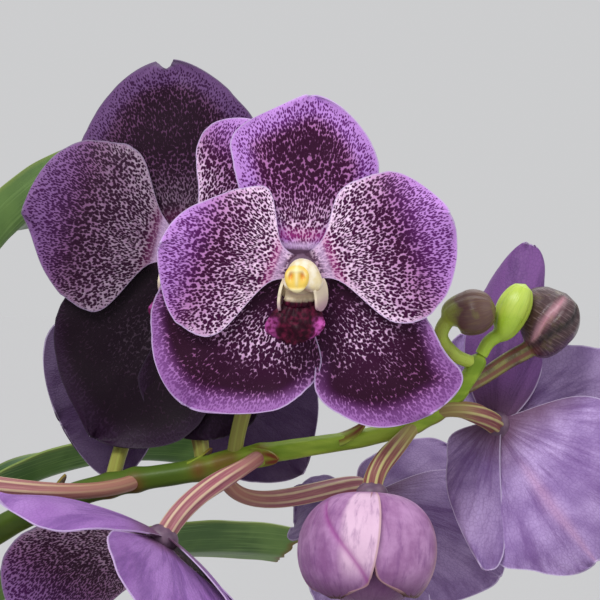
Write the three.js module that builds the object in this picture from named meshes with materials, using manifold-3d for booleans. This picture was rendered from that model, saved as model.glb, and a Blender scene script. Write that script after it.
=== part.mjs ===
// Potted vanda orchid in flower: millimetres, +Z up, the pot's foot on the origin, the flowers facing -Y

import * as THREE from "three";
import { mergeVertices } from "three/addons/utils/BufferGeometryUtils.js";
import Module from "manifold-3d";

const wasm = await Module();
wasm.setup();

// Driving dimensions
const GAP = 0.3;
const POT = { height: 132, collar: 28, wall: 3.5, floor: 8, footRadius: 51, shoulderRadius: 74, rimRadius: 81 };
const DRAINS = { bearings: [30, 150, 270], ring: 27, radius: 5 };
const BARK = { top: 114, crown: 5, radius: 71.5, chips: 14 };
const CHIP = { length: 15, width: 9, thickness: 4.5 };
const STEM = { radius: 7.5, tipRadius: 4.5, jointZ: 140, topZ: 338 };
const SHEATH = { reach: 17, topReach: 9, drop: 15, rise: 12 };
const CROWN = { radius: 8.5, bottomZ: 104 };
const LEAF = { thickness: 2.2, edgeThickness: 1.3, rows: 8, columns: 2 };
const TEPAL = { thickness: 0.9, rows: 5, columns: 4 };
const HUB = { radius: 5, depth: 4.2 };
const PEDICEL = { radius: 2.9, neck: 2.4, rows: 6, sides: 5 };

const rad = THREE.MathUtils.degToRad;
const vec = (x, y, z) => new THREE.Vector3(x, y, z);
const mix = THREE.MathUtils.lerp;
const smooth = THREE.MathUtils.smoothstep;

// Colours of the parts
const paint = (color, roughness) => new THREE.MeshStandardMaterial({ color, roughness, metalness: 0 });
const CLAY = paint(0xb5663f, 0.9);
const BARK_BROWN = paint(0x5b3a26, 0.95);
const ROOT_GREY = paint(0xa9ab98, 0.8);
const STEM_GREEN = paint(0x5f8136, 0.6);
const LEAF_GREEN = paint(0x3f6a2a, 0.45);
const SPIKE_GREEN = paint(0x7da32f, 0.5);
const PEDICEL_ROSE = paint(0x9c5a68, 0.55);
const TEPAL_PURPLE = paint(0x7a3a94, 0.5);
const COLUMN_CREAM = paint(0xe9d9a2, 0.45);
const LIP_MAGENTA = paint(0x6d1745, 0.45);
const HALF_OPEN_PINK = paint(0xa874b4, 0.5);
const BUD_GREEN = paint(0x9fb640, 0.45);
const BUD_BROWN = paint(0x6b5148, 0.45);

// Solids: a mesh with merged vertices becomes a solid that faces out
function solidOf(geometry) {
  const bare = new THREE.BufferGeometry();
  const flat = geometry.index ? geometry.toNonIndexed() : geometry;
  bare.setAttribute("position", flat.getAttribute("position"));
  const merged = mergeVertices(bare, 1e-4);
  const vertProperties = new Float32Array(merged.attributes.position.array);
  const triVerts = new Uint32Array(merged.index.array);
  const solid = new wasm.Manifold(new wasm.Mesh({ numProp: 3, vertProperties, triVerts }));
  if (solid.volume() > 0) return solid;
  const turned = triVerts.map((_, i) => triVerts[i - (i % 3) + 2 - (i % 3)]);
  return new wasm.Manifold(new wasm.Mesh({ numProp: 3, vertProperties, triVerts: turned }));
}

function geometryOf(solid) {
  const mesh = solid.getMesh();
  const geometry = new THREE.BufferGeometry();
  geometry.setAttribute("position", new THREE.BufferAttribute(new Float32Array(mesh.vertProperties), 3));
  geometry.setIndex(new THREE.BufferAttribute(new Uint32Array(mesh.triVerts), 1));
  const faceted = geometry.toNonIndexed();
  faceted.computeVertexNormals();
  return faceted;
}

// The largest body of a solid: a boolean cut can leave a loose scrap beside it
function largest(solid) {
  return solid.decompose().reduce((best, body) => (body.volume() > best.volume() ? body : best));
}

const union = (solids) => solids.reduce((sum, next) => sum.add(next));

// A geometry of triangles, from a list of corner points
function trianglesOf(corners) {
  const geometry = new THREE.BufferGeometry();
  geometry.setAttribute("position", new THREE.Float32BufferAttribute(corners.flatMap((p) => p.toArray()), 3));
  return geometry;
}

// A closed thin solid between two faces, each a function of (u, v) with u from 0 to 1 and v from -1 to 1
function sheet(front, back, rows, columns) {
  const grid = (face) =>
    Array.from({ length: rows + 1 }, (_, i) =>
      Array.from({ length: columns + 1 }, (_, j) => face(i / rows, (2 * j) / columns - 1)),
    );
  const [top, under] = [grid(front), grid(back)];
  const corners = [];
  const quad = (a, b, c, d) => corners.push(a, b, c, a, c, d);
  for (let i = 0; i < rows; i++) {
    for (let j = 0; j < columns; j++) {
      const at = (g) => [g[i][j], g[i + 1][j], g[i + 1][j + 1], g[i][j + 1]];
      const turn = j < columns / 2 ? 0 : 1;
      const [a, b, c, d] = turn ? [...at(top).slice(1), at(top)[0]] : at(top);
      const [e, f, g, h] = turn ? [...at(under).slice(1), at(under)[0]] : at(under);
      quad(a, b, c, d);
      corners.push(e, g, f, e, h, g);
    }
    quad(top[i][0], under[i][0], under[i + 1][0], top[i + 1][0]);
    quad(top[i + 1][columns], under[i + 1][columns], under[i][columns], top[i][columns]);
  }
  for (let j = 0; j < columns; j++) {
    quad(top[0][j + 1], under[0][j + 1], under[0][j], top[0][j]);
    quad(top[rows][j], under[rows][j], under[rows][j + 1], top[rows][j + 1]);
  }
  return solidOf(trianglesOf(corners));
}

// A sheet of the given thickness about a middle surface
function blade(middle, thickness, rows, columns) {
  const step = 1e-3;
  const normal = (u, v) => {
    const along = middle(Math.min(1, u + step), v).sub(middle(Math.max(0, u - step), v));
    const across = middle(u, Math.min(1, v + step)).sub(middle(u, Math.max(-1, v - step)));
    return along.cross(across).normalize();
  };
  const offset = (side) => (u, v) => middle(u, v).addScaledVector(normal(u, v), (side * thickness(u, v)) / 2);
  return sheet(offset(1), offset(-1), rows, columns);
}

// A closed solid through rings of points, with a fan over each end ring
function loft(rings) {
  const count = rings[0].length;
  const centre = (ring) => ring.reduce((sum, p) => sum.add(p), vec(0, 0, 0)).divideScalar(count);
  const corners = [];
  for (let i = 0; i + 1 < rings.length; i++) {
    for (let j = 0; j < count; j++) {
      const [a, b] = [rings[i][j], rings[i][(j + 1) % count]];
      const [c, d] = [rings[i + 1][(j + 1) % count], rings[i + 1][j]];
      corners.push(a, b, c, a, c, d);
    }
  }
  const [first, last] = [rings[0], rings[rings.length - 1]];
  for (let j = 0; j < count; j++) {
    const next = (j + 1) % count;
    corners.push(centre(first), first[next], first[j], centre(last), last[j], last[next]);
  }
  return solidOf(trianglesOf(corners));
}

// A round solid along a curve, its radius a function of the share of the length
function tube(curve, radius, rows, sides) {
  const frames = curve.computeFrenetFrames(rows, false);
  const rings = Array.from({ length: rows + 1 }, (_, i) => {
    const centre = curve.getPointAt(i / rows);
    return Array.from({ length: sides }, (_, j) => {
      const angle = (2 * Math.PI * j) / sides;
      const r = radius(i / rows);
      return centre
        .clone()
        .addScaledVector(frames.normals[i], r * Math.cos(angle))
        .addScaledVector(frames.binormals[i], r * Math.sin(angle));
    });
  });
  return loft(rings);
}

const ellipsoid = (rx, ry, rz, wide = 10, high = 6) =>
  solidOf(new THREE.SphereGeometry(1, wide, high).scale(rx, ry, rz));

// A solid turned about the Z axis, from an outline of [radius, height] points
function turnedSolid(outline, sides) {
  const points = outline.map(([radius, height]) => new THREE.Vector2(radius, height));
  return solidOf(new THREE.LatheGeometry(points, sides).rotateX(rad(90)));
}

// Repeatable random numbers from 0 to 1
function drawsFrom(seed) {
  let state = seed;
  return () => {
    state = (state * 1664525 + 1013904223) % 4294967296;
    return state / 4294967296;
  };
}

const group = new THREE.Group();

function add(name, solid, material, parent = group) {
  const mesh = new THREE.Mesh(geometryOf(largest(solid)), material);
  mesh.name = name;
  parent.add(mesh);
}

// Clay pot: a tapered wall, a collar round its rim, a flat foot and drain holes round the foot's middle
function potSolid() {
  const wallTop = POT.height - POT.collar;
  const outline = [
    [0, 0],
    [POT.footRadius, 0],
    [POT.footRadius + 2, 2],
    [POT.shoulderRadius, wallTop],
    [POT.rimRadius - 1.5, wallTop + 1],
    [POT.rimRadius - 0.5, wallTop + 3],
    [POT.rimRadius, POT.height - 4],
    [POT.rimRadius - 2, POT.height - 0.5],
    [POT.rimRadius - 5.5, POT.height],
    [POT.rimRadius - 7.5, POT.height - 2],
    [POT.shoulderRadius - 2.5, wallTop - 4],
    [POT.footRadius - POT.wall, POT.floor],
    [0, POT.floor],
  ];
  const drains = DRAINS.bearings.map((bearing) => {
    const hole = new THREE.CylinderGeometry(DRAINS.radius, DRAINS.radius, 4 * POT.floor, 8).rotateX(rad(90));
    return solidOf(hole.translate(DRAINS.ring, 0, 0).rotateZ(rad(bearing)));
  });
  return drains.reduce((pot, drain) => pot.subtract(drain), turnedSolid(outline, 32));
}

// A bark chip: a box with each of its eight corners moved at random
function chipSolid(draw, length, width) {
  const chip = new THREE.BoxGeometry(length, width, CHIP.thickness);
  const corner = chip.getAttribute("position");
  const skew = Array.from({ length: 8 }, () => vec(draw(), draw(), draw()).subScalar(0.5).multiplyScalar(3));
  for (let k = 0; k < corner.count; k++) {
    const p = vec(corner.getX(k), corner.getY(k), corner.getZ(k));
    p.add(skew[(p.x > 0 ? 1 : 0) + (p.y > 0 ? 2 : 0) + (p.z > 0 ? 4 : 0)]);
    corner.setXYZ(k, p.x, p.y, p.z);
  }
  return chip;
}

// Bark mix: a bed that fills the pot, with bark chips lying on it and sunk into it
function barkSolid() {
  const draw = drawsFrom(11);
  const outline = [
    [0, POT.floor + GAP],
    [POT.footRadius - POT.wall - 2 * GAP, POT.floor + GAP],
    [BARK.radius - 2 * GAP, POT.height - POT.collar - 4],
    [BARK.radius, BARK.top],
    [45, BARK.top + BARK.crown / 2],
    [0, BARK.top + BARK.crown],
  ];
  const chips = Array.from({ length: BARK.chips }, (_, i) => {
    const bearing = i * 2.39996;
    const reach = 60 * Math.sqrt((i + 0.6) / BARK.chips);
    const size = mix(0.75, 1.25, draw());
    const chip = chipSolid(draw, CHIP.length * size, CHIP.width * mix(0.7, 1.2, draw()));
    chip.rotateX(mix(-0.4, 0.4, draw())).rotateY(mix(-0.35, 0.35, draw())).rotateZ(2 * Math.PI * draw());
    const lift = BARK.top + BARK.crown * (1 - reach / BARK.radius) + mix(-0.5, 1.5, draw());
    return solidOf(chip.translate(reach * Math.cos(bearing), reach * Math.sin(bearing), lift));
  });
  return union([turnedSolid(outline, 20), ...chips]);
}

// Leaves: turn is the heading from +X; the midrib is an arc from angle rise at the joint to fall at the tip
const LEAVES = [
  { name: "leaf_right_1", z: 156, turn: 40, rise: 30, fall: -66, length: 165, half: 13, twist: 0 },
  { name: "leaf_right_2", z: 187, turn: 26, rise: 26, fall: -12, length: 136, half: 12.5, twist: -42 },
  { name: "leaf_right_3", z: 220, turn: 32, rise: 33, fall: -20, length: 120, half: 13, twist: -25 },
  { name: "leaf_right_4", z: 287, turn: 26, rise: 74, fall: -4, length: 108, half: 14.5, twist: -82 },
  { name: "leaf_right_5", z: 315, turn: 38, rise: 84, fall: 66, length: 120, half: 12, twist: 0 },
  { name: "leaf_right_6", z: 337, turn: 24, rise: 86, fall: 76, length: 84, half: 10, twist: 0 },
  { name: "leaf_left_1", z: 172, turn: 196, rise: 32, fall: -62, length: 178, half: 13.5, twist: 0 },
  { name: "leaf_left_2", z: 204, turn: 208, rise: 38, fall: -50, length: 190, half: 14, twist: 14 },
  { name: "leaf_left_3", z: 237, turn: 197, rise: 44, fall: -38, length: 192, half: 14, twist: -12 },
  { name: "leaf_left_4", z: 269, turn: 210, rise: 54, fall: -24, length: 178, half: 13, twist: 16 },
  { name: "leaf_left_5", z: 301, turn: 200, rise: 64, fall: 8, length: 150, half: 12, twist: 0 },
  { name: "leaf_left_6", z: 326, turn: 205, rise: 77, fall: 48, length: 96, half: 10, twist: 0 },
];
// The bitten-off tip: how far each of the three lines along the leaf stops short
const TIP_CUT = [0, 6, 4];

const sheathReach = (leaf) => mix(SHEATH.reach, SHEATH.topReach, smooth(leaf.z, 300, 340));

// The frame of a leaf at the share u of its length: a point on the midrib and its three directions
function leafFrame(leaf, u) {
  const [start, end] = [rad(leaf.rise), rad(leaf.fall)];
  const angle = mix(start, end, u);
  const bend = leaf.length / (end - start);
  const out = sheathReach(leaf) + bend * (Math.sin(angle) - Math.sin(start));
  const up = leaf.z + SHEATH.rise - bend * (Math.cos(angle) - Math.cos(start));
  const heading = vec(Math.cos(rad(leaf.turn)), Math.sin(rad(leaf.turn)), 0);
  const along = heading.clone().multiplyScalar(Math.cos(angle)).setZ(Math.sin(angle));
  const twist = rad(leaf.twist) * smooth(u, 0, 0.8);
  const level = heading.clone().multiplyScalar(-Math.sin(angle)).setZ(Math.cos(angle));
  return {
    point: heading.clone().multiplyScalar(out).setZ(up),
    along,
    above: level.applyAxisAngle(along, twist),
    across: vec(-heading.y, heading.x, 0).applyAxisAngle(along, twist),
  };
}

const leafHalf = (leaf, u) => leaf.half * mix(0.62, 1, smooth(u, 0, 0.35)) * (1 - 0.16 * u ** 4);
const leafFold = (u) => rad(mix(56, 20, smooth(u, 0, 0.7)));
const leafThickness = (u, v) => mix(LEAF.thickness, LEAF.edgeThickness, Math.abs(v));

function leafMiddle(leaf, u, v) {
  const frame = leafFrame(leaf, u);
  const cut = v < 0 ? mix(TIP_CUT[1], TIP_CUT[0], -v) : mix(TIP_CUT[1], TIP_CUT[2], v);
  const width = leafHalf(leaf, u);
  return frame.point
    .addScaledVector(frame.along, -cut * smooth(u, 0.85, 1))
    .addScaledVector(frame.across, v * width * Math.cos(leafFold(u)))
    .addScaledVector(frame.above, Math.abs(v) * width * Math.sin(leafFold(u)));
}

function leafSolid(leaf) {
  const fromJoint = (u) => mix(GAP / leaf.length, 1, u);
  return blade((u, v) => leafMiddle(leaf, fromJoint(u), v), leafThickness, LEAF.rows, LEAF.columns);
}

// A leaf's sheath: it clasps the stem below the leaf and ends folded at the leaf's joint
function sheathSolid(leaf, grow) {
  const frame = leafFrame(leaf, 0);
  const lean = rad(leaf.turn);
  const radius = mix(STEM.radius, STEM.tipRadius, smooth(leaf.z, STEM.jointZ, STEM.topZ));
  const clasp = (reach, v) => {
    const angle = lean + v * rad(66);
    return vec(reach * Math.cos(angle), reach * Math.sin(angle), leaf.z - SHEATH.drop);
  };
  const fold = (side) => (v) => {
    const width = leafHalf(leaf, 0) + grow + 0.4;
    return frame.point
      .clone()
      .addScaledVector(frame.across, v * width * Math.cos(leafFold(0)))
      .addScaledVector(frame.above, Math.abs(v) * width * Math.sin(leafFold(0)) + side * (1.7 + grow))
      .addScaledVector(frame.along, grow);
  };
  const [inner, outer] = [fold(1), fold(-1)];
  const face = (section, reach) => (u, v) =>
    clasp(reach, v)
      .lerp(section(v), u)
      .addScaledVector(frame.across, Math.sin(Math.PI * u) * v * 1.5);
  return sheet(face(inner, 1.5), face(outer, radius + 1.4 + grow), 2, 4);
}

// Leafy stem: a core with one sheath to each leaf
function stemSolid(grow = 0) {
  const line = new THREE.LineCurve3(vec(0, 0, STEM.jointZ - grow), vec(0, 0, STEM.topZ));
  const core = tube(line, (u) => mix(STEM.radius, STEM.tipRadius, u) + grow, 2, 8);
  return union([core, ...LEAVES.map((leaf) => sheathSolid(leaf, grow))]);
}

// Roots: each leaves the root crown, runs out over the bark, then either dives into it or hangs over the rim
const ROOTS = [
  { turn: 8, from: 133, dive: 42 },
  { turn: 62, from: 126, dive: 55 },
  { turn: 118, from: 135, dive: 38 },
  { turn: 171, from: 128, dive: 52 },
  { turn: 226, from: 134, dive: 34 },
  { turn: 305, from: 129, dive: 50 },
  { turn: 268, from: 134, hang: 46 },
  { turn: 342, from: 135, hang: 66 },
  { turn: 198, from: 135, hang: 78 },
];

function rootCurve(root) {
  const at = (reach, z, drift = 0) => {
    const turn = rad(root.turn + drift);
    return vec(reach * Math.cos(turn), reach * Math.sin(turn), z);
  };
  const start = [at(0, root.from + 1), at(CROWN.radius + 4, root.from - 1)];
  if (root.dive) {
    const rest = BARK.top + BARK.crown + 3;
    const over = [at(root.dive * 0.6, rest + 6, 7), at(root.dive, rest - 1, -4)];
    return new THREE.CatmullRomCurve3([...start, ...over, at(root.dive + 5, rest - 20, 3)]);
  }
  const side = POT.rimRadius + 5;
  const path = [
    at(46, POT.height + 9, 9),
    at(POT.rimRadius - 5, POT.height + 7.5, -2),
    at(side + 1, POT.height - 7, -4),
    at(side, POT.height - 32, 3),
    at(side - 3, mix(POT.height - 32, root.hang, 0.5), -3),
    at(side - 5, root.hang, 4),
  ];
  return new THREE.CatmullRomCurve3([...start, ...path]);
}

function rootSolid(root, grow) {
  const radius = (u) => 2.9 * (1 - 0.35 * smooth(u, 0.86, 1)) + grow;
  return tube(rootCurve(root), radius, root.dive ? 6 : 10, 5);
}

function crownSolid(grow = 0) {
  const line = new THREE.LineCurve3(vec(0, 0, CROWN.bottomZ), vec(0, 0, STEM.jointZ - GAP));
  const core = tube(line, (u) => CROWN.radius * (1 - 0.12 * u) + grow, 3, 8);
  return union([core, ...ROOTS.map((root) => rootSolid(root, grow))]);
}

// Flower spike: its path leaves the stem's front, rises over the leaves and turns up again at its tip
const SPIKE_PATH = [
  [2.5, -5, 196],
  [9, -21, 208],
  [31, -42, 231],
  [59.7, -58, 247],
  [82.1, -64, 253.4],
  [100.9, -66, 256.6],
  [119.5, -67, 261.3],
  [138.1, -67, 264.4],
  [156.7, -67, 267.5],
  [172.1, -68, 272.3],
  [183, -68, 279.7],
  [188.4, -68, 287.7],
  [191.6, -68, 293.5],
].map((p) => vec(...p));
const SPIKE = new THREE.CatmullRomCurve3(SPIKE_PATH);
const spikeRadius = (u) => mix(4.4, 2.6, smooth(u, 0.1, 1));
const spikeTube = (grow = 0) => tube(SPIKE, (u) => spikeRadius(u) + grow, 18, 6);

// The share of the spike's length at which it reaches the given x
function spikeShare(x) {
  let [low, high] = [0, 1];
  for (let i = 0; i < 30; i++) {
    const middle = (low + high) / 2;
    if (SPIKE.getPointAt(middle).x < x) low = middle;
    else high = middle;
  }
  return low;
}

// A bract: a small scale that leans off the spike; turn is the side it stands on, 0 the top and 90 the back
function bractSolid({ x, turn, length }, grow = 0) {
  const share = spikeShare(x);
  const centre = SPIKE.getPointAt(share);
  const along = SPIKE.getTangentAt(share);
  const out = vec(0, Math.sin(rad(turn)), Math.cos(rad(turn)));
  out.addScaledVector(along, -out.dot(along)).normalize();
  const across = along.clone().cross(out);
  const middle = (s, v) =>
    centre
      .clone()
      .addScaledVector(along, (length + grow) * s - 1 - grow)
      .addScaledVector(out, spikeRadius(share) - 0.9 + 3.4 * s * s - 1.2 * v * v * (1 - s))
      .addScaledVector(across, v * (3.2 + grow) * (1 - 0.85 * s));
  return blade(middle, () => 0.9 + 2 * grow, 2, 2);
}

// Tepals: left and right are half widths at even steps from a tepal's base to its tip, seen with the tip up.
// sweep bends it to its left, curl rolls its sides, lean and arch tip it forward at its base and over its length.
const SEPAL = { layer: -0.9, lean: -2, arch: 3, curl: 0.22, wave: 1.2, waves: 4, notch: 0 };
const PETAL = { layer: 1.3, lean: 6, arch: 4, curl: -0.25, wave: 1, waves: 3, notch: 0 };
const TEPALS = {
  dorsal: {
    ...SEPAL, angle: 87.4, length: 52.4, sweep: 0, phase: 0.4, notch: 0.4,
    left: [3.2, 12.7, 19, 22.3, 23.2, 7.8], right: [3.2, 13.4, 19.9, 22.1, 18.7, 13.6],
  },
  petal_right: {
    ...PETAL, angle: 20.7, length: 47.6, sweep: 0, phase: 1.2,
    left: [3.2, 6.9, 18, 19.4, 17.9, 9.4], right: [3.2, 7.1, 23.1, 26.9, 23.7, 18],
  },
  petal_left: {
    ...PETAL, angle: 160.3, length: 42.4, sweep: 7.1, phase: 2.6,
    left: [3.2, 7.1, 24.7, 26.5, 21.6, 10.4], right: [3.2, 5.9, 20.5, 19.5, 16.2, 15.1],
  },
  sepal_right: {
    ...SEPAL, angle: -57.6, length: 57, sweep: 10.5, phase: 2.2, layer: -1.4,
    left: [3.2, 15.9, 21.1, 20.2, 18.1, 24], right: [3.2, 4.9, 11.6, 20.3, 20.9, 21.5],
  },
  sepal_left: {
    ...SEPAL, angle: -119.4, length: 52.8, sweep: -10, phase: 4.1,
    left: [3.2, 8.8, 20.3, 22.3, 20.2, 10.9], right: [3.2, 22.8, 31.9, 30.8, 24.1, 16],
  },
};

// Blooms: face is the azimuth and elevation that a bloom faces, 0 azimuth being -Y and 90 being +X.
// root is the x at which its pedicel leaves the spike, leave its direction there, change its tepals' own values.
const BLOOMS = [
  {
    name: "front_bloom", centre: [135.6, -90, 319], face: [-3, -2], roll: 0, root: 114,
    leave: [0.1, 0.1, 1],
  },
  {
    name: "upper_left_bloom", centre: [99, -60.5, 324], face: [-8, 0], roll: 2, root: 75.7,
    leave: [0, 1, 0.6],
    change: {
      dorsal: {
        angle: 94, length: 61.7, notch: 3,
        left: [3.2, 19.4, 28.6, 30.4, 24.7, 18.2], right: [3.2, 17.9, 26, 27.3, 21.9, 13.8],
      },
      petal_left: {
        angle: 163.3, length: 52.3, sweep: 0,
        left: [3.2, 5.9, 23.2, 23.2, 17.2, 3], right: [3.2, 11.3, 27, 29.1, 28, 25],
      },
      petal_right: {
        angle: 52.4, length: 48.2,
        left: [3.2, 3, 7.6, 15.8, 17.7, 14.3], right: [3.2, 12.1, 18.3, 21.3, 21, 17.1],
      },
      sepal_left: {
        angle: -117.8, length: 64.6, sweep: -2,
        left: [3.2, 14.2, 22.8, 28.2, 28.7, 22.5], right: [3.2, 20, 28, 27.6, 20.5, 6],
      },
      sepal_right: { angle: -84, length: 58, sweep: 0, layer: -1.8 },
    },
  },
  {
    name: "lower_left_bloom", centre: [94, -95, 239], face: [-78, -60], roll: 0, root: 123,
    leave: [-0.5, -0.8, -0.35],
    change: {
      all: { lean: 7, arch: 40 },
      dorsal: { curl: 0.9, lean: 0, arch: 30 },
      petal_left: {
        angle: 152, length: 62, lean: 5, arch: 95, sweep: 0,
        left: [3.2, 8, 17, 22, 21, 14], right: [3.2, 8, 18, 23, 22, 15],
      },
      petal_right: {
        angle: -12, length: 50, lean: 4, arch: 44,
        left: [3.2, 12, 23, 26, 24, 16], right: [3.2, 5, 16, 21, 19, 14],
      },
      sepal_right: { angle: -84 },
    },
  },
  {
    name: "rear_left_bloom", centre: [97.5, -32, 290], face: [-176, 4], roll: 0, root: 104,
    leave: [0, 1, 0.2],
    change: {
      petal_right: { length: 38 },
      sepal_right: {
        angle: -26, length: 45, sweep: 0,
        left: [3.2, 12, 22, 29, 31, 27], right: [3.2, 10, 17, 23, 28, 30],
      },
      sepal_left: {
        angle: -141.3, length: 52.9, sweep: 4,
        left: [3.2, 13.1, 18.8, 19.8, 16.3, 10.8], right: [3.2, 14.7, 22.5, 25.4, 21.6, 11.1],
      },
    },
  },
  {
    name: "rear_middle_bloom", centre: [157, -8, 242], face: [-170, -40], roll: 0, root: 110,
    leave: [0.1, 0.5, -1],
    change: {
      dorsal: { angle: 92, lean: 20, arch: 100 },
      petal_right: {
        angle: 14, length: 32, lean: 8, arch: 70,
        left: [3.2, 6, 12, 14, 13, 9], right: [3.2, 3, 7, 11, 12, 9],
      },
      petal_left: {
        angle: 142, length: 46, sweep: 0,
        left: [3.2, 7, 11, 13, 10, 6], right: [3.2, 12, 13, 11, 10, 8],
      },
      sepal_right: { angle: -84, sweep: 0 },
      sepal_left: { angle: -141.8, length: 52, sweep: 0 },
    },
  },
  {
    name: "right_bloom", centre: [197, -52, 270], face: [168, -16], roll: 0, root: 177,
    leave: [0.8, -0.6, 0.3],
    change: {
      dorsal: {
        angle: 98.9, length: 61, curl: 1.7,
        left: [3.2, 9.9, 12.2, 11.3, 10.1, 12.7], right: [3.2, 11.6, 17.3, 20, 19.5, 16.2],
      },
      petal_left: { angle: 163, length: 52, sweep: 0 },
      petal_right: {
        angle: 70, length: 34,
        left: [3.2, 6, 10, 11, 11, 8], right: [3.2, 6, 10, 11, 11, 8],
      },
      sepal_left: {
        angle: -135.5, length: 53.3, sweep: 7.2,
        left: [3.2, 15.1, 23.2, 27.7, 19.8, 14.7], right: [3.2, 24.6, 32, 29.9, 21.8, 8.6],
      },
      sepal_right: {
        angle: -66.7, length: 42.9, sweep: -16.5, curl: 0.6, layer: -2.4,
        left: [2.6, 12, 11.5, 10.8, 7.4, 3], right: [2.6, 5.5, 7.8, 9.3, 10.1, 9],
      },
    },
  },
  {
    name: "far_left_bloom", centre: [-12, -86, 258], face: [-24, -6], roll: -3, root: 84,
    leave: [-0.8, -1, -0.3],
  },
];

function bloomFrame(bloom) {
  const [azimuth, elevation] = bloom.face.map(rad);
  const level = Math.cos(elevation);
  const facing = vec(Math.sin(azimuth) * level, -Math.cos(azimuth) * level, Math.sin(elevation));
  const up = vec(0, 0, 1).addScaledVector(facing, -facing.z).normalize();
  up.applyAxisAngle(facing, rad(bloom.roll));
  const right = up.clone().cross(facing);
  return new THREE.Matrix4().makeBasis(right, up, facing).setPosition(...bloom.centre);
}

// A smooth value at a share of the way along evenly spaced values
function stepsAt(steps, share) {
  const last = steps.length - 1;
  const i = Math.min(Math.floor(share * last), last - 1);
  const before = steps[i - 1] ?? 2 * steps[0] - steps[1];
  const after = steps[i + 2] ?? 2 * steps[last] - steps[last - 1];
  const t = share * last - i;
  const bend = 2 * before - 5 * steps[i] + 4 * steps[i + 1] - after;
  const twist = 3 * (steps[i] - steps[i + 1]) + after - before;
  return steps[i] + 0.5 * t * (steps[i + 1] - before + t * (bend + t * twist));
}

// A point of a tepal's middle surface, in the bloom's frame: +Z faces out of the bloom and +Y is its top
function tepalPoint(t, u, v) {
  const s = Math.sin((Math.PI / 2) * u);
  const width = stepsAt(v < 0 ? t.right : t.left, s) * Math.sqrt(1 - 0.97 * s ** 8);
  const round = Math.atan2(v, 2.5 * (s - 0.6));
  const edge = Math.min(1, Math.hypot(v, s * s * s));
  const curl = t.curl * (0.15 + 0.85 * s);
  const across = (width * Math.sin(curl * v)) / curl + t.sweep * s * s;
  const wave = t.wave * s * edge ** 3 * Math.sin(t.waves * round + t.phase);
  const lift = (width * (1 - Math.cos(curl * v))) / curl + wave;
  const angle = rad(t.lean + t.arch * s);
  const bend = t.length / rad(t.arch);
  const drop = t.notch * (1 - Math.abs(v)) * smooth(s, 0.8, 1);
  const reach = bend * (Math.sin(angle) - Math.sin(rad(t.lean))) - drop - lift * Math.sin(angle);
  const rise = t.layer - bend * (Math.cos(angle) - Math.cos(rad(t.lean))) + lift * Math.cos(angle);
  const heading = rad(t.angle);
  return vec(
    reach * Math.cos(heading) - across * Math.sin(heading),
    reach * Math.sin(heading) + across * Math.cos(heading),
    rise,
  );
}

const hubSolid = (grow = 0) => ellipsoid(HUB.radius + grow, HUB.radius + grow, HUB.depth + grow, 8, 4);

function tepalsSolid(bloom) {
  const blades = Object.entries(TEPALS).map(([name, tepal]) => {
    const own = { ...tepal, ...bloom.change?.all, ...bloom.change?.[name] };
    return blade((u, v) => tepalPoint(own, u, v), () => TEPAL.thickness, TEPAL.rows, TEPAL.columns);
  });
  return union([hubSolid(), ...blades]);
}

// The column and the lip sink towards their front: drop is how far for each millimetre out of the bloom
const COLUMN = { drop: 0.24, sides: 7 };
const sunk = (x, y, z) => vec(x, y - COLUMN.drop * z, z);

// Column: a short stout post on the front of the hub that widens to a hood, with the anther cap on its end
function columnSolid(grow = 0) {
  const sections = [
    [2, 3.5, 0],
    [5, 4.2, 0.1],
    [8.5, 5.8, 0.3],
    [11.4, 5.2, 0.4],
    [12.6, 4, 0],
    [14, 2.2, -0.2],
  ];
  const rings = sections.map(([z, radius, y]) =>
    Array.from({ length: COLUMN.sides }, (_, j) => {
      const angle = (2 * Math.PI * (j + 0.5)) / COLUMN.sides;
      const reach = radius + grow;
      return sunk(reach * Math.cos(angle), y + reach * Math.sin(angle), z + (z > 6 ? grow : 0));
    }),
  );
  return loft(rings);
}

// Lip: a tongue that drops from the column's foot and spreads, with an ear on each side of the column
function lipSolid() {
  const tonguePoint = (u, v) => {
    const width = mix(4.4, 7.2, smooth(u, 0.2, 0.6)) * (1 - 0.35 * smooth(u, 0.75, 1));
    const height = 5.9 + 4.5 * Math.sin(2.3 * u) - 2.2 * v * v * smooth(u, 0.1, 0.6);
    return sunk(v * width - 2.2 * u, mix(-4.6, -19.4, u) + 1.6 * v * v * u, height);
  };
  const tongue = blade(tonguePoint, (u) => mix(2.6, 1.6, u), 3, 2);
  const ear = (side) => {
    const height = (u, v) => 7.2 + 4.2 * v * (1 - 0.35 * u) + 0.8 * u;
    const earPoint = (u, v) => sunk(side * (5.6 + 0.9 * u + 0.4 * v), -2.4 - 7.8 * u, height(u, v));
    return blade(earPoint, () => 1.3, 1, 2);
  };
  const foot = ellipsoid(6.4, 2.7, 2.9, 6, 3).translate(sunk(0, -5.2, 4.6).toArray());
  return union([tongue, foot, ear(1), ear(-1)]).subtract(columnSolid(GAP)).subtract(hubSolid(GAP));
}

// Pedicel: a curve from the spike to the back of the bloom, cut back by a small gap at both ends
function pedicelSolid(bloom, clear) {
  const frame = bloomFrame(bloom);
  const back = vec(0, 0, -1).transformDirection(frame);
  const end = vec(...bloom.centre).addScaledVector(back, 1);
  const start = SPIKE.getPointAt(spikeShare(bloom.root));
  const leave = vec(...bloom.leave).normalize();
  const span = start.distanceTo(end);
  const afterStart = start.clone().addScaledVector(leave, span * 0.4);
  const beforeEnd = end.clone().addScaledVector(back, span * 0.35);
  const curve = new THREE.CubicBezierCurve3(start, afterStart, beforeEnd, end);
  const radius = (u) => mix(PEDICEL.neck, PEDICEL.radius, smooth(u, 0.1, 0.55));
  return tube(curve, radius, PEDICEL.rows, PEDICEL.sides).subtract(clear).subtract(hubAt(frame));
}

const hubAt = (frame) => solidOf(geometryOf(hubSolid(GAP)).applyMatrix4(frame));

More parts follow.
